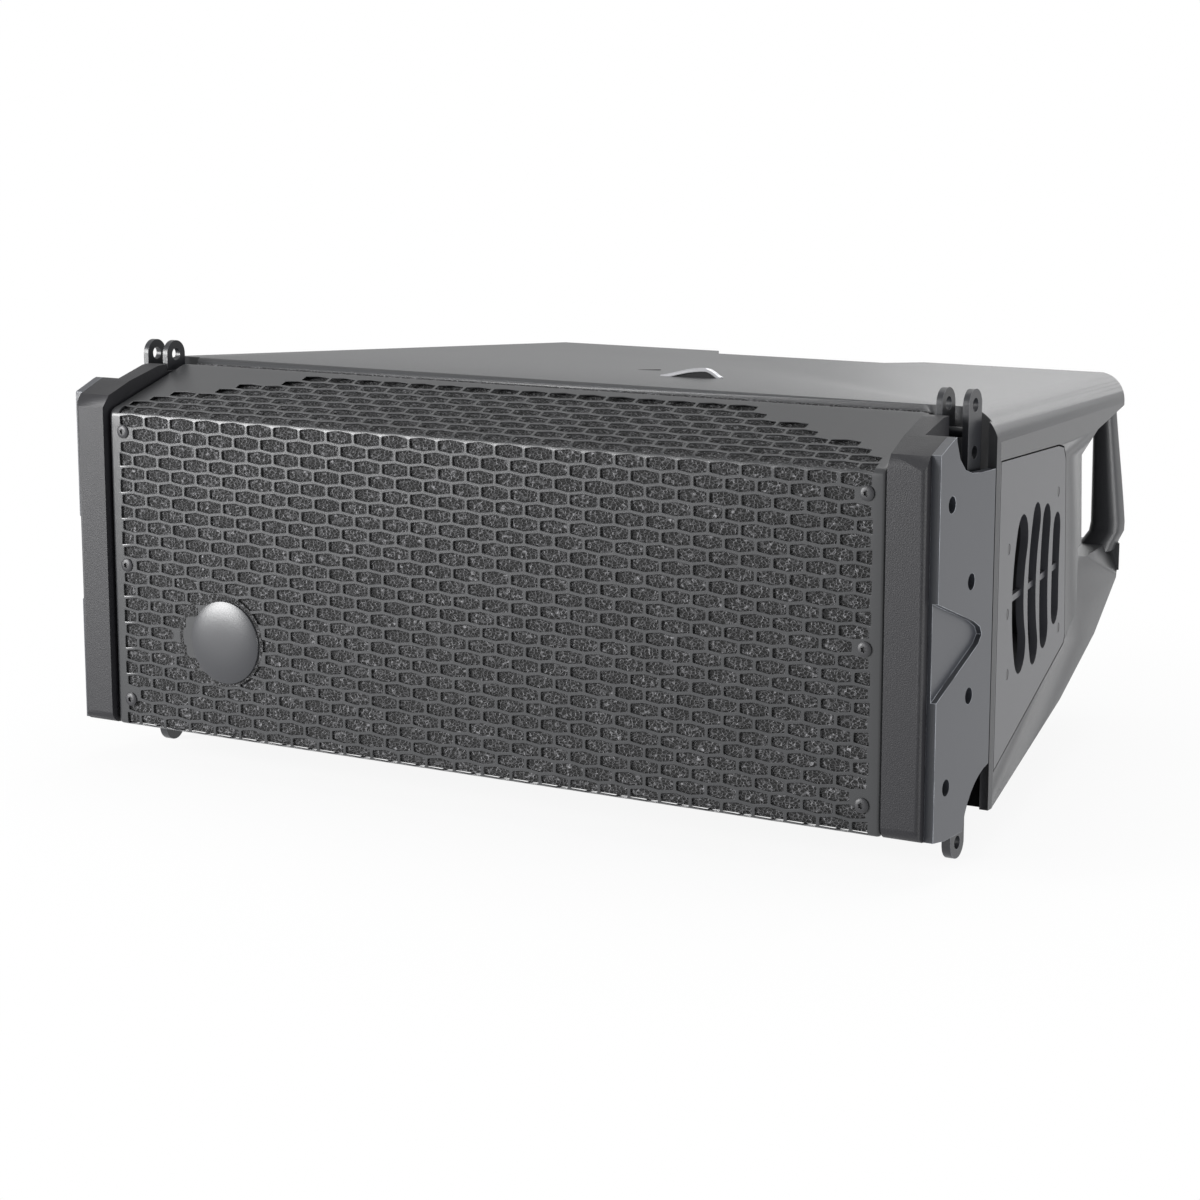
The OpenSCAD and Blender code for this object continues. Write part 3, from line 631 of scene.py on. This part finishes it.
def rounded_post(side):
    middle = (side * (POST_IN + POST_OUT) / 2, (POST_FRONT + POST_REAR) / 2, (POST_LOW + POST_HIGH) / 2)
    post = block((POST_OUT - POST_IN, POST_REAR - POST_FRONT, POST_HIGH - POST_LOW), middle)
    centre = place(*middle)
    upright_edges = [
        e for e in post.edges if abs(e.verts[0].co.z - e.verts[1].co.z) > LEAST_UPRIGHT * MM
    ]
    outer = [
        e for e in upright_edges
        if side * e.verts[0].co.x > side * centre.x and e.verts[0].co.y > centre.y
    ]
    round_off(post, outer, *OUTER_ROUND)
    rest = [e for e in upright_edges if e.is_valid and e not in outer]
    round_off(post, rest, *INNER_ROUND)
    for i in range(1, POST_LENGTHS):
        z = POST_LOW + (POST_HIGH - POST_LOW) * i / POST_LENGTHS
        bmesh.ops.bisect_plane(
            post, geom=everything(post), dist=1e-6, plane_co=place(0, 0, z), plane_no=(0, 0, 1)
        )
    return post


print("post", POST_OUT - POST_IN, "wide", POST_HIGH - POST_LOW, "high")

# %% [markdown]
# The post is thick at the bottom and draws in under the roof, and its foot runs inwards into the
# shell. Each point moves by how high, how far out and how far back it lies.

# %% Shape the posts
SIDE_TAPER, REAR_TAPER = 9.5, 4.5
FOOT_SHARE = 0.16
# how far the foot is pulled: the faces towards the front and the middle, then the outer faces
FOOT_FORWARD, FOOT_INWARD, FOOT_OUTER_FACES = 9.0, 7.0, 5.0


def smooth(t):
    t = min(1.0, max(0.0, t))
    return t * t * (3 - 2 * t)


def narrow(v, side):
    """Moves one point of a post to its place on the shaped post."""
    x, y, z = local(v.co)
    x *= side
    up = (z - POST_LOW) / (POST_HIGH - POST_LOW)
    outward = max(0.0, (x - POST_IN) / (POST_OUT - POST_IN))
    rearward = max(0.0, (y - POST_FRONT) / (POST_REAR - POST_FRONT))
    x -= outward * SIDE_TAPER * min(1.0, max(0.0, (up - 0.1) / 0.9))
    y -= rearward * REAR_TAPER * smooth((up - 0.25) / 0.75)
    foot = smooth(1 - up / FOOT_SHARE)
    y -= (1 - rearward) * FOOT_FORWARD * foot + rearward * FOOT_OUTER_FACES * foot
    x -= (1 - outward) * FOOT_INWARD * foot + outward * FOOT_OUTER_FACES * foot
    v.co = place(side * x, y, z)


for side, name in ((-1, "left"), (1, "right")):
    post = rounded_post(side)
    for v in post.verts:
        narrow(v, side)
    bmesh.ops.recalc_face_normals(post, faces=post.faces)
    make_piece(name + "_grip_post", post, name + "_handle_grip", stands_for=[name + "_handle_grip"])
print("posts made")

# %% [markdown]
# ## Roof marks
# The roof carries a low lip over a hollow. The lip takes a bright steel finish as a painted highlight,
# and a dark bar under it is painted shade of the hollow. The lip is a strip swept along a lopsided
# arch. A curve with a bevel object could do it, but rings of corners, bridged one to the next, keep
# both ends square and closed.

# %% Roof lip
ROOF_Z, ROOF_FALL = 136.5, 19.0 / 406.0
ARCH_FROM, ARCH_TO, ARCH_STEPS = (35.8, 181.0), (75.3, 191.8), 24
ARCH_RISE, ARCH_PEAK, ARCH_SHARPNESS = 5.6, 0.74, 1.3


def on_roof(x, y, above=0.0):
    return place(x, y, ROOF_Z - ROOF_FALL * (y - ROOF_FRONT_Y) + above)


def arch_height(t):
    """A long rise to the peak and a short fall behind it."""
    run = t / ARCH_PEAK if t < ARCH_PEAK else (1 - t) / (1 - ARCH_PEAK)
    return ARCH_RISE * math.sin(math.radians(90) * run) ** ARCH_SHARPNESS


def lip_section(h):
    return (0.0, h - 1.6), (0.0, h), (0.9, h + 0.9), (4.5, h + 0.6), (4.5, h - 1.6)


# painted shade: a dark bar fills the space under the lip, where the hollow lies in shadow
def shade_under_lip_section(h):
    return (1.2, -0.8), (1.2, h - 1.7), (3.6, h - 1.7), (3.6, -0.8)


def swept(section):
    """A closed bar along the arch: one ring of corners at each step, skinned and capped."""
    bm = new_bmesh()
    rings = []
    for i in range(ARCH_STEPS + 1):
        t = i / ARCH_STEPS
        x, y = (a + (b - a) * t for a, b in zip(ARCH_FROM, ARCH_TO))
        rings.append([bm.verts.new(on_roof(x, y + back, up)) for back, up in section(arch_height(t))])
    edges = []
    for ring in rings:
        edges += [bm.edges.new(pair) for pair in zip(ring, ring[1:] + ring[:1])]
    bmesh.ops.bridge_loops(bm, edges=edges)
    for end in (rings[0], rings[-1]):
        bm.faces.new(end)
    bmesh.ops.recalc_face_normals(bm, faces=bm.faces)
    return bm


# the lip takes the bright latch steel finish as a painted highlight; the dark bar below is painted
# shade
make_piece("roof_lip", swept(lip_section), "cabinet_shell", smooth_angle=50, slot="latch_steel")
make_piece("roof_lip_hollow", swept(shade_under_lip_section), "cabinet_shell", slot="inner_black")
print("roof lip made")

# %% [markdown]
# A dark block fills the gap between the grille and the roof as a painted shadow, and a small dark
# oval lies a little further back. The oval is a squashed circle given a thickness.

# %% Roof gap shadow and dark oval
OVAL_AT, OVAL_LIFT, OVAL_TURN = (-2, 232), 0.25, math.radians(35)
OVAL_HALF_LONG, OVAL_HALF_WIDE, OVAL_THICKNESS = 8, 2.4, 0.6
# painted shadow: a dark block where the gap between the grille and the roof falls into shade
roof_gap_shadow_block = block((556, 5.5, 9), (0, 81.1, 127.4))
make_piece("roof_front_seal", roof_gap_shadow_block, "grille_foam", slot="inner_black")
# a small dark oval laid on the roof
dark_oval = new_bmesh()
lying = Matrix.Translation(on_roof(*OVAL_AT, OVAL_LIFT)) @ Matrix.Rotation(OVAL_TURN, 4, "Z")
squashed = Matrix.Diagonal((OVAL_HALF_LONG * MM, OVAL_HALF_WIDE * MM, 1, 1))
bmesh.ops.create_circle(dark_oval, cap_ends=True, radius=1.0, segments=24, matrix=lying @ squashed)
lower = bmesh.ops.extrude_face_region(dark_oval, geom=dark_oval.faces[:])["geom"]
lower = [g for g in lower if isinstance(g, bmesh.types.BMVert)]
bmesh.ops.translate(dark_oval, verts=lower, vec=(0, 0, -OVAL_THICKNESS * MM))
bmesh.ops.recalc_face_normals(dark_oval, faces=dark_oval.faces)
make_piece("roof_plug", dark_oval, "cabinet_shell", slot="inner_black")
print("roof marks made")

# %% [markdown]
# ## Finishes
# Five small effects are shared by the materials as node groups: a fine moulded or sprayed grain,
# rubbed edges, brushed streaks, a woven or open-cell pattern, and settled dust. A group is built
# once and takes its strength from named inputs, so each finish can have more or less of it.

# %% Help with node groups
FLOAT, VECTOR = "NodeSocketFloat", "NodeSocketVector"


def new_group(name, inputs, outputs):
    group = bpy.data.node_groups.new(name, "ShaderNodeTree")
    for label, value in inputs:
        group.interface.new_socket(label, in_out="INPUT", socket_type=FLOAT).default_value = value
    for label, kind in outputs:
        group.interface.new_socket(label, in_out="OUTPUT", socket_type=kind)
    return group, group.nodes.new("NodeGroupInput"), group.nodes.new("NodeGroupOutput")


def math_node(group, kind, first, second, clamp=False):
    node = group.nodes.new("ShaderNodeMath")
    node.operation = kind
    node.use_clamp = clamp
    for socket, value in zip(node.inputs, (first, second)):
        if isinstance(value, (int, float)):
            socket.default_value = value
        else:
            group.links.new(value, socket)
    return node.outputs[0]


def above_level(group, value, level, gain):
    """What a value has above a level, made stronger and kept between 0 and 1."""
    return math_node(group, "MULTIPLY", math_node(group, "SUBTRACT", value, level), gain, clamp=True)


def object_place(group):
    return group.nodes.new("ShaderNodeTexCoord").outputs["Object"]


def stretched(group, vector, scale):
    node = group.nodes.new("ShaderNodeMapping")
    node.inputs["Scale"].default_value = scale
    group.links.new(vector, node.inputs["Vector"])
    return node.outputs["Vector"]


def noise_node(group, vector, scale, detail=3.0, roughness=0.55):
    node = group.nodes.new("ShaderNodeTexNoise")
    node.inputs["Detail"].default_value = detail
    node.inputs["Roughness"].default_value = roughness
    group.links.new(vector, node.inputs["Vector"])
    if isinstance(scale, (int, float)):
        node.inputs["Scale"].default_value = scale
    else:
        group.links.new(scale, node.inputs["Scale"])
    return node.outputs[0]


def bump_node(group, height, strength, distance):
    node = group.nodes.new("ShaderNodeBump")
    node.inputs["Distance"].default_value = distance
    group.links.new(strength, node.inputs["Strength"])
    group.links.new(height, node.inputs["Height"])
    return node.outputs["Normal"]


print("node helpers ready")

# %% [markdown]
# Moulded plastic and sprayed steel both show a fine grain in their gloss, and drift a little in tone
# from place to place. A fine noise makes the bump, and with a broad one it makes the tone.

# %% Fine grain
grain, grain_in, grain_out = new_group(
    "fine_grain", [("Scale", 900.0), ("Depth", 0.25), ("Mottle", 0.1)],
    [("Tone", FLOAT), ("Normal", VECTOR)],
)
at = object_place(grain)
fine = noise_node(grain, at, grain_in.outputs["Scale"])
broad = noise_node(grain, at, 9.0, detail=4.0)
both = math_node(grain, "MULTIPLY", fine, 0.5), math_node(grain, "MULTIPLY", broad, 0.5)
tone = math_node(grain, "ADD", *both)
tone = math_node(grain, "SUBTRACT", tone, 0.5)
tone = math_node(grain, "MULTIPLY", tone, grain_in.outputs["Mottle"])
grain.links.new(math_node(grain, "ADD", tone, 1.0), grain_out.inputs["Tone"])
normal = bump_node(grain, fine, grain_in.outputs["Depth"], 0.0004)
grain.links.new(normal, grain_out.inputs["Normal"])
print("grain built")

# %% [markdown]
# Handling rubs edges bright, though never evenly; on the rigging plates the same bright edges are
# painted highlight. The mask is the mesh's layer of marked edge faces broken up by a noise.

# %% Rubbed edges and painted edge highlights
rubbed_and_highlit, rubbed_and_highlit_in, rubbed_and_highlit_out = new_group("rubbed_and_highlit_edges", [("Amount", 0.6)], [("Mask", FLOAT)])
mark = rubbed_and_highlit.nodes.new("ShaderNodeAttribute")
mark.attribute_name = "wear_and_highlight"
patch = above_level(rubbed_and_highlit, noise_node(rubbed_and_highlit, object_place(rubbed_and_highlit), 38.0, detail=5.0), 0.33, 4.0)
mask = math_node(rubbed_and_highlit, "MULTIPLY", mark.outputs["Fac"], patch)
mask = math_node(rubbed_and_highlit, "MULTIPLY", mask, rubbed_and_highlit_in.outputs["Amount"], clamp=True)
rubbed_and_highlit.links.new(mask, rubbed_and_highlit_out.inputs["Mask"])
print("rubbed edges built")

# %% [markdown]
# Bare metal parts keep the fine streaks of their grinding. A noise stretched far along one axis is
# enough for parts this small.

# %% Brushed streaks
brushed, brushed_in, brushed_out = new_group(
    "brushed_streaks", [("Scale", 500.0), ("Depth", 0.1)], [("Tone", FLOAT), ("Normal", VECTOR)]
)
drawn = stretched(brushed, object_place(brushed), (0.04, 1.0, 1.0))
streak = noise_node(brushed, drawn, brushed_in.outputs["Scale"], detail=5.0)
tone = math_node(brushed, "ADD", math_node(brushed, "MULTIPLY", streak, 0.3), 0.85)
brushed.links.new(tone, brushed_out.inputs["Tone"])
normal = bump_node(brushed, streak, brushed_in.outputs["Depth"], 0.0003)
brushed.links.new(normal, brushed_out.inputs["Normal"])
print("streaks built")

# %% [markdown]
# Open foam is a net of thin walls round dark cells, and cloth is much the same from a distance. The
# distance to the edges of a Voronoi pattern gives the walls, and a noise decides which ones shine.

# %% Open cells
cells, cells_in, cells_out = new_group(
    "open_cells", [("Scale", 700.0), ("Depth", 0.6)], [("Fleck", FLOAT), ("Normal", VECTOR)]
)
at = object_place(cells)
voronoi = cells.nodes.new("ShaderNodeTexVoronoi")
voronoi.feature = "DISTANCE_TO_EDGE"
cells.links.new(cells_in.outputs["Scale"], voronoi.inputs["Scale"])
cells.links.new(stretched(cells, at, (0.55, 1.0, 1.0)), voronoi.inputs["Vector"])
hollow = math_node(cells, "MULTIPLY", voronoi.outputs["Distance"], 4.5, clamp=True)
wall = math_node(cells, "SUBTRACT", 1.0, hollow)
speck = above_level(cells, noise_node(cells, at, 420.0, detail=2.0), 0.52, 7.0)
speck = math_node(cells, "ADD", math_node(cells, "MULTIPLY", speck, 0.65), 0.35)
cells.links.new(math_node(cells, "MULTIPLY", wall, speck), cells_out.inputs["Fleck"])
normal = bump_node(cells, wall, cells_in.outputs["Depth"], 0.001)
cells.links.new(normal, cells_out.inputs["Normal"])
print("open cells built")

# %% [markdown]
# Dust settles on what faces up. The mask is how far a face looks upwards, broken up by a cloud.

# %% Settled dust
dust, dust_in, dust_out = new_group("settled_dust", [("Amount", 0.15)], [("Mask", FLOAT)])
facing = dust.nodes.new("ShaderNodeSeparateXYZ")
dust.links.new(dust.nodes.new("ShaderNodeNewGeometry").outputs["Normal"], facing.inputs["Vector"])
cloud = noise_node(dust, object_place(dust), 14.0, detail=6.0, roughness=0.65)
up = math_node(dust, "POWER", math_node(dust, "MAXIMUM", facing.outputs["Z"], 0.0), 3.0)
up = math_node(dust, "MULTIPLY", up, cloud)
mask = math_node(dust, "MULTIPLY", up, dust_in.outputs["Amount"], clamp=True)
dust.links.new(mask, dust_out.inputs["Mask"])
print("node groups", [g.name for g in bpy.data.node_groups])

# %% [markdown]
# One builder covers most finishes: a base colour with mottling, a rubbed-edge colour (painted highlight
# on the rigging plates), dust on what faces up, and the grain's bump. Metals change a few sockets only.

# %% Material builder
DUST_COLOUR, DUST_AMOUNT = (0.42, 0.41, 0.39), 0.06
finishes = {}


def new_material(name, rough):
    material = bpy.data.materials.new(name)
    material.use_nodes = True
    shader = material.node_tree.nodes["Principled BSDF"]
    shader.inputs["Roughness"].default_value = rough
    finishes[name] = material
    return material.node_tree, shader


def use_group(tree, group, **values):
    node = tree.nodes.new("ShaderNodeGroup")
    node.node_tree = group
    for label, value in values.items():
        node.inputs[label].default_value = value
    return node


def mix_colour(tree, factor, first, second):
    node = tree.nodes.new("ShaderNodeMix")
    node.data_type = "RGBA"
    tree.links.new(factor, node.inputs[0])
    for socket, value in zip((node.inputs[6], node.inputs[7]), (first, second)):
        if isinstance(value, tuple):
            socket.default_value = (*value, 1.0)
        else:
            tree.links.new(value, socket)
    return node.outputs[2]


def finish(name, colour, rough=0.5, metallic=0.0, scale=900.0, depth=0.25, mottle=0.25, edge=None,
           edge_amount=0.6, coat=0.0, brush=False, specular=0.5):
    tree, shader = new_material(name, rough)
    if brush:
        texture = use_group(tree, brushed, Scale=scale, Depth=depth)
    else:
        texture = use_group(tree, grain, Scale=scale, Depth=depth, Mottle=mottle)
    shade = tree.nodes.new("ShaderNodeHueSaturation")
    shade.inputs["Color"].default_value = (*colour, 1.0)
    tree.links.new(texture.outputs["Tone"], shade.inputs["Value"])
    edge = edge or tuple(min(1.0, c * 2.2 + 0.03) for c in colour)
    # bright colour on the marked edge faces: rubbed wear, and painted highlight on the plates
    edge_wear_and_highlight = use_group(tree, rubbed_and_highlit, Amount=edge_amount)
    tinted = mix_colour(tree, edge_wear_and_highlight.outputs["Mask"], shade.outputs["Color"], edge)
    fallen = use_group(tree, dust, Amount=DUST_AMOUNT)
    tinted = mix_colour(tree, fallen.outputs["Mask"], tinted, DUST_COLOUR)
    tree.links.new(tinted, shader.inputs["Base Color"])
    tree.links.new(texture.outputs["Normal"], shader.inputs["Normal"])
    shader.inputs["Metallic"].default_value = metallic
    shader.inputs["Coat Weight"].default_value = coat
    shader.inputs["Coat Roughness"].default_value = 0.25
    shader.inputs["Specular IOR Level"].default_value = specular


print("material builder ready")

# %% [markdown]
# The outside: moulded polymer for the cabinet, textured casting at the sides, satin painted steel for
# the plates and the grille.

# %% Finishes of the outside
finish("shell_plastic", (0.034, 0.035, 0.038), rough=0.38, scale=1100, depth=0.45, mottle=0.5)
finish("frame_plastic", (0.009, 0.009, 0.0115), rough=0.5, scale=1300, depth=0.5, specular=0.4)
# the plates' bright edge colour, laid on every round at full strength, is painted highlight on their
# bevels
finish("plate_steel", (0.042, 0.045, 0.053), rough=0.33, scale=1100, depth=0.12,
       edge=(0.42, 0.44, 0.48), edge_amount=1.0)
finish("grille_steel", (0.031, 0.032, 0.034), rough=0.3, scale=1400, depth=0.08,
       edge=(0.11, 0.11, 0.115))
finish("screw_steel", (0.02, 0.02, 0.022), rough=0.42, edge=(0.035, 0.035, 0.04))
finish("badge_plastic", (0.026, 0.027, 0.031), rough=0.36, depth=0.03, coat=0.2)
finish("rigging_steel", (0.02, 0.021, 0.024), rough=0.34, scale=1000, depth=0.15,
       edge=(0.2, 0.2, 0.22))
finish("vent_plastic", (0.036, 0.037, 0.043), rough=0.36, scale=1500, depth=0.2)
finish("inner_black", (0.015, 0.015, 0.017), rough=0.7)
print("outside", len(finishes), "finishes")

# %% [markdown]
# The drivers: cast baskets, iron magnets, paper cones with rubber surrounds, copper coils and a bright
# tweeter diaphragm.

# %% Finishes of the drivers
finish("basket_metal", (0.04, 0.04, 0.045), rough=0.45, depth=0.1)
finish("magnet_iron", (0.10, 0.10, 0.11), rough=0.6, metallic=0.5, depth=0.3)
finish("cone_paper", (0.03, 0.03, 0.032), rough=0.75, scale=400, depth=0.5)
finish("surround_rubber", (0.015, 0.015, 0.016), rough=0.65)
finish("coil_copper", (0.72, 0.34, 0.16), rough=0.35, metallic=1.0, brush=True)
finish("driver_metal", (0.1, 0.1, 0.105), rough=0.5, metallic=0.5, scale=500, depth=0.4)
finish("diaphragm_metal", (0.72, 0.72, 0.74), rough=0.25, metallic=1.0, depth=0.03)
print("with drivers", len(finishes), "finishes")

# %% [markdown]
# The rear: painted panel, anodised heat sink, coloured mains connectors, and bare steel where hands
# and pins wear the paint away.

# %% Finishes of the rear
finish("panel_steel", (0.04, 0.04, 0.044), rough=0.5, scale=1100, depth=0.3)
finish("heatsink_alloy", (0.06, 0.06, 0.064), rough=0.4, metallic=0.7, depth=0.1, brush=True)
finish("mains_blue", (0.02, 0.10, 0.42), rough=0.35, depth=0.05)
finish("mains_grey", (0.42, 0.42, 0.44), rough=0.4, depth=0.05)
finish("socket_black", (0.045, 0.045, 0.05), rough=0.35, metallic=0.4, depth=0.08)
finish("latch_steel", (0.55, 0.55, 0.57), rough=0.3, metallic=1.0, depth=0.1, brush=True)
finish("knob_plastic", (0.03, 0.03, 0.033), rough=0.55, depth=0.1)
finish("button_grey", (0.3, 0.3, 0.32), rough=0.4, depth=0.05)
finish("switch_black", (0.018, 0.018, 0.02), rough=0.3, depth=0.03)
finish("pin_steel", (0.55, 0.55, 0.57), rough=0.3, metallic=1.0, depth=0.15, brush=True)
print("with the rear", len(finishes), "finishes")

# %% [markdown]
# Foam, felt and spider cloth are two colours mixed by the open-cell pattern, with no gloss to speak
# of. Felt and cloth also get a little sheen, as loose fibres do.

# %% Foam and cloth


def cloth(name, colour, fleck, scale, depth, sheen):
    tree, shader = new_material(name, rough=0.9)
    weave = use_group(tree, cells, Scale=scale, Depth=depth)
    tinted = mix_colour(tree, weave.outputs["Fleck"], colour, fleck)
    tree.links.new(tinted, shader.inputs["Base Color"])
    tree.links.new(weave.outputs["Normal"], shader.inputs["Normal"])
    shader.inputs["Sheen Weight"].default_value = sheen


cloth("foam", (0.002, 0.002, 0.002), (0.27, 0.27, 0.28), 620.0, 1.0, 0.0)
cloth("lining_felt", (0.2, 0.2, 0.22), (0.42, 0.42, 0.44), 300.0, 0.5, 0.3)
cloth("spider_cloth", (0.42, 0.28, 0.10), (0.62, 0.46, 0.2), 900.0, 0.5, 0.1)
print("cloths added", len(finishes), "finishes")

# %% [markdown]
# Wood, circuit boards, wound parts and the light lenses show two colours in long or blocky patches. A
# noise stretched one way, cut by a colour ramp, gives all of them.

# %% Patterned finishes


def patterned(name, first, second, scale, stretch_by, rough, emission=0.0):
    tree, shader = new_material(name, rough)
    noise = tree.nodes.new("ShaderNodeTexNoise")
    noise.inputs["Scale"].default_value = scale
    noise.inputs["Detail"].default_value = 5.0
    tree.links.new(stretched(tree, object_place(tree), stretch_by), noise.inputs["Vector"])
    ramp = tree.nodes.new("ShaderNodeValToRGB")
    for element, position, colour in zip(ramp.color_ramp.elements, (0.42, 0.6), (first, second)):
        element.position = position
        element.color = (*colour, 1.0)
    tree.links.new(noise.outputs[0], ramp.inputs["Fac"])
    tree.links.new(ramp.outputs["Color"], shader.inputs["Base Color"])
    if emission:
        tree.links.new(ramp.outputs["Color"], shader.inputs["Emission Color"])
        shader.inputs["Emission Strength"].default_value = emission


patterned("wood_board", (0.10, 0.07, 0.05), (0.2, 0.14, 0.09), 60.0, (0.15, 1, 1), 0.6)
patterned("board_green", (0.02, 0.14, 0.05), (0.04, 0.24, 0.09), 260.0, (1, 0.3, 1), 0.4)
patterned("board_blue", (0.02, 0.06, 0.2), (0.05, 0.12, 0.32), 260.0, (0.3, 1, 1), 0.4)
patterned("supply_parts", (0.3, 0.24, 0.12), (0.5, 0.42, 0.26), 120.0, (1, 1, 0.3), 0.5)
patterned("led_lens", (0.03, 0.4, 0.1), (0.08, 0.6, 0.2), 400.0, (1, 1, 1), 0.2, emission=0.3)
print("patterns added", len(finishes), "finishes")

# %% [markdown]
# Each exact part and each piece takes the finish that its slot names, so nothing is left unpainted.

# %% Paint everything


def paint(thing, slot_name):
    thing.data.materials.clear()
    thing.data.materials.append(finishes[slot_name])


for node, thing in nodes.items():
    paint(thing, slot_of_node[node])
for name, slot_name in pieces.items():
    paint(bpy.data.objects[name], slot_name)
print("painted", len(nodes), "parts and", len(pieces), "pieces; slots without finish",
      sorted(set(slot_of_node.values()) - set(finishes)))

# %% [markdown]
# ## Studio
# One flat square under the lowest point is all the floor there is. It is stage, not part of the
# object.

# %% Floor
FLOOR_HALF = 6.0
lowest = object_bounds()[0].z
floor_mesh = bmesh.new()
bmesh.ops.create_grid(
    floor_mesh, x_segments=1, y_segments=1, size=FLOOR_HALF, matrix=Matrix.Translation((0, 0, lowest))
)
floor_data = bpy.data.meshes.new("floor")
floor_mesh.to_mesh(floor_data)
floor_mesh.free()
floor = bpy.data.objects.new("floor", floor_data)
bpy.context.scene.collection.objects.link(floor)
print("floor at", round(lowest, 4))

# %% [markdown]
# The floor is pale and meets a white surround. Its middle keeps a faint shadow. The rest melts into
# plain white, so that no horizon shows.

# %% Floor finish
SHADOW_FADE = (("From Min", 0.25), ("From Max", 0.7), ("To Min", 0.9), ("To Max", 1.0))
pale = bpy.data.materials.new("floor_white")
pale.use_nodes = True
tree = pale.node_tree
shader = tree.nodes["Principled BSDF"]
shader.inputs["Base Color"].default_value = (0.9, 0.9, 0.9, 1)
shader.inputs["Roughness"].default_value = 0.95
shader.inputs["Specular IOR Level"].default_value = 0.0
lit = tree.nodes.new("ShaderNodeEmission")
lit.inputs["Strength"].default_value = 1.0
away = tree.nodes.new("ShaderNodeVectorMath")
away.operation = "LENGTH"
tree.links.new(object_place(tree), away.inputs[0])
fade = tree.nodes.new("ShaderNodeMapRange")
fade.interpolation_type = "SMOOTHSTEP"
for label, value in SHADOW_FADE:
    fade.inputs[label].default_value = value
tree.links.new(away.outputs["Value"], fade.inputs["Value"])
blend = tree.nodes.new("ShaderNodeMixShader")
tree.links.new(fade.outputs["Result"], blend.inputs["Fac"])
tree.links.new(shader.outputs["BSDF"], blend.inputs[1])
tree.links.new(lit.outputs["Emission"], blend.inputs[2])
tree.links.new(blend.outputs["Shader"], tree.nodes["Material Output"].inputs["Surface"])
floor_data.materials.append(pale)
print("floor finished")

# %% [markdown]
# The surround is white to the camera and nearly so in reflections, but lights the object only faintly.

# %% Surround
WHITE_IN_REFLECTIONS = 0.62
world = bpy.data.worlds.new("studio")
bpy.context.scene.world = world
world.use_nodes = True
sky = world.node_tree
faint = sky.nodes["Background"]
faint.inputs["Color"].default_value = (0.85, 0.87, 0.9, 1)
faint.inputs["Strength"].default_value = 0.3
white = sky.nodes.new("ShaderNodeBackground")
white.inputs["Color"].default_value = (1, 1, 1, 1)
white.inputs["Strength"].default_value = 1.0
path = sky.nodes.new("ShaderNodeLightPath")
choose = sky.nodes.new("ShaderNodeMixShader")
reflected = math_node(sky, "MULTIPLY", path.outputs["Is Glossy Ray"], WHITE_IN_REFLECTIONS)
seen = math_node(sky, "MAXIMUM", path.outputs["Is Camera Ray"], reflected)
sky.links.new(seen, choose.inputs["Fac"])
sky.links.new(faint.outputs["Background"], choose.inputs[1])
sky.links.new(white.outputs["Background"], choose.inputs[2])
sky.links.new(choose.outputs["Shader"], sky.nodes["World Output"].inputs["Surface"])
print("surround ready")

# %% [markdown]
# One large soft light hangs above. A soft key stands at the front left, a low fill on the side with
# the rigging plate, and a long light behind draws the roof.

# %% Lights


def soft_light(name, at, towards, size, power):
    data = bpy.data.lights.new(name, "AREA")
    data.shape = "RECTANGLE"
    data.size, data.size_y = size
    data.energy = power
    lamp = bpy.data.objects.new(name, data)
    bpy.context.scene.collection.objects.link(lamp)
    lamp.location = at
    lamp.rotation_euler = (Vector(towards) - Vector(at)).to_track_quat("-Z", "Y").to_euler()


soft_light("top", (0.2, 0.6, 2.6), (0, 0, 0.1), (2.2, 2.2), 33)
soft_light("front_left", (-1.55, -1.9, 0.6), (-0.2, -0.24, 0.15), (1.0, 1.0), 82)
soft_light("right_low", (2.2, -0.2, 0.25), (0.3, 0, 0.05), (1.2, 0.5), 22)
soft_light("behind", (0.2, 2.6, 1.25), (0.2, 0, 0.2), (2.6, 1.2), 17)

# %% [markdown]
# The camera looks from the front right and a little above, with a long lens.

# %% Camera
LENS, SENSOR = 83.32, 36.0
LOOKED_AT = (97.8, 0.0, 14.8)
TOWARDS_CAMERA = Vector((0.50656, -0.84246, 0.18342)).normalized()
CAMERA_DISTANCE = 1.691
camera_data = bpy.data.cameras.new("camera")
camera_data.lens = LENS
camera_data.sensor_width = SENSOR
camera = bpy.data.objects.new("camera", camera_data)
bpy.context.scene.collection.objects.link(camera)
camera.location = place(*LOOKED_AT) + TOWARDS_CAMERA * CAMERA_DISTANCE
camera.rotation_euler = TOWARDS_CAMERA.to_track_quat("Z", "Y").to_euler()
bpy.context.scene.camera = camera
bpy.context.scene.view_settings.view_transform = "Standard"
print("camera at", [round(c, 3) for c in camera.location])
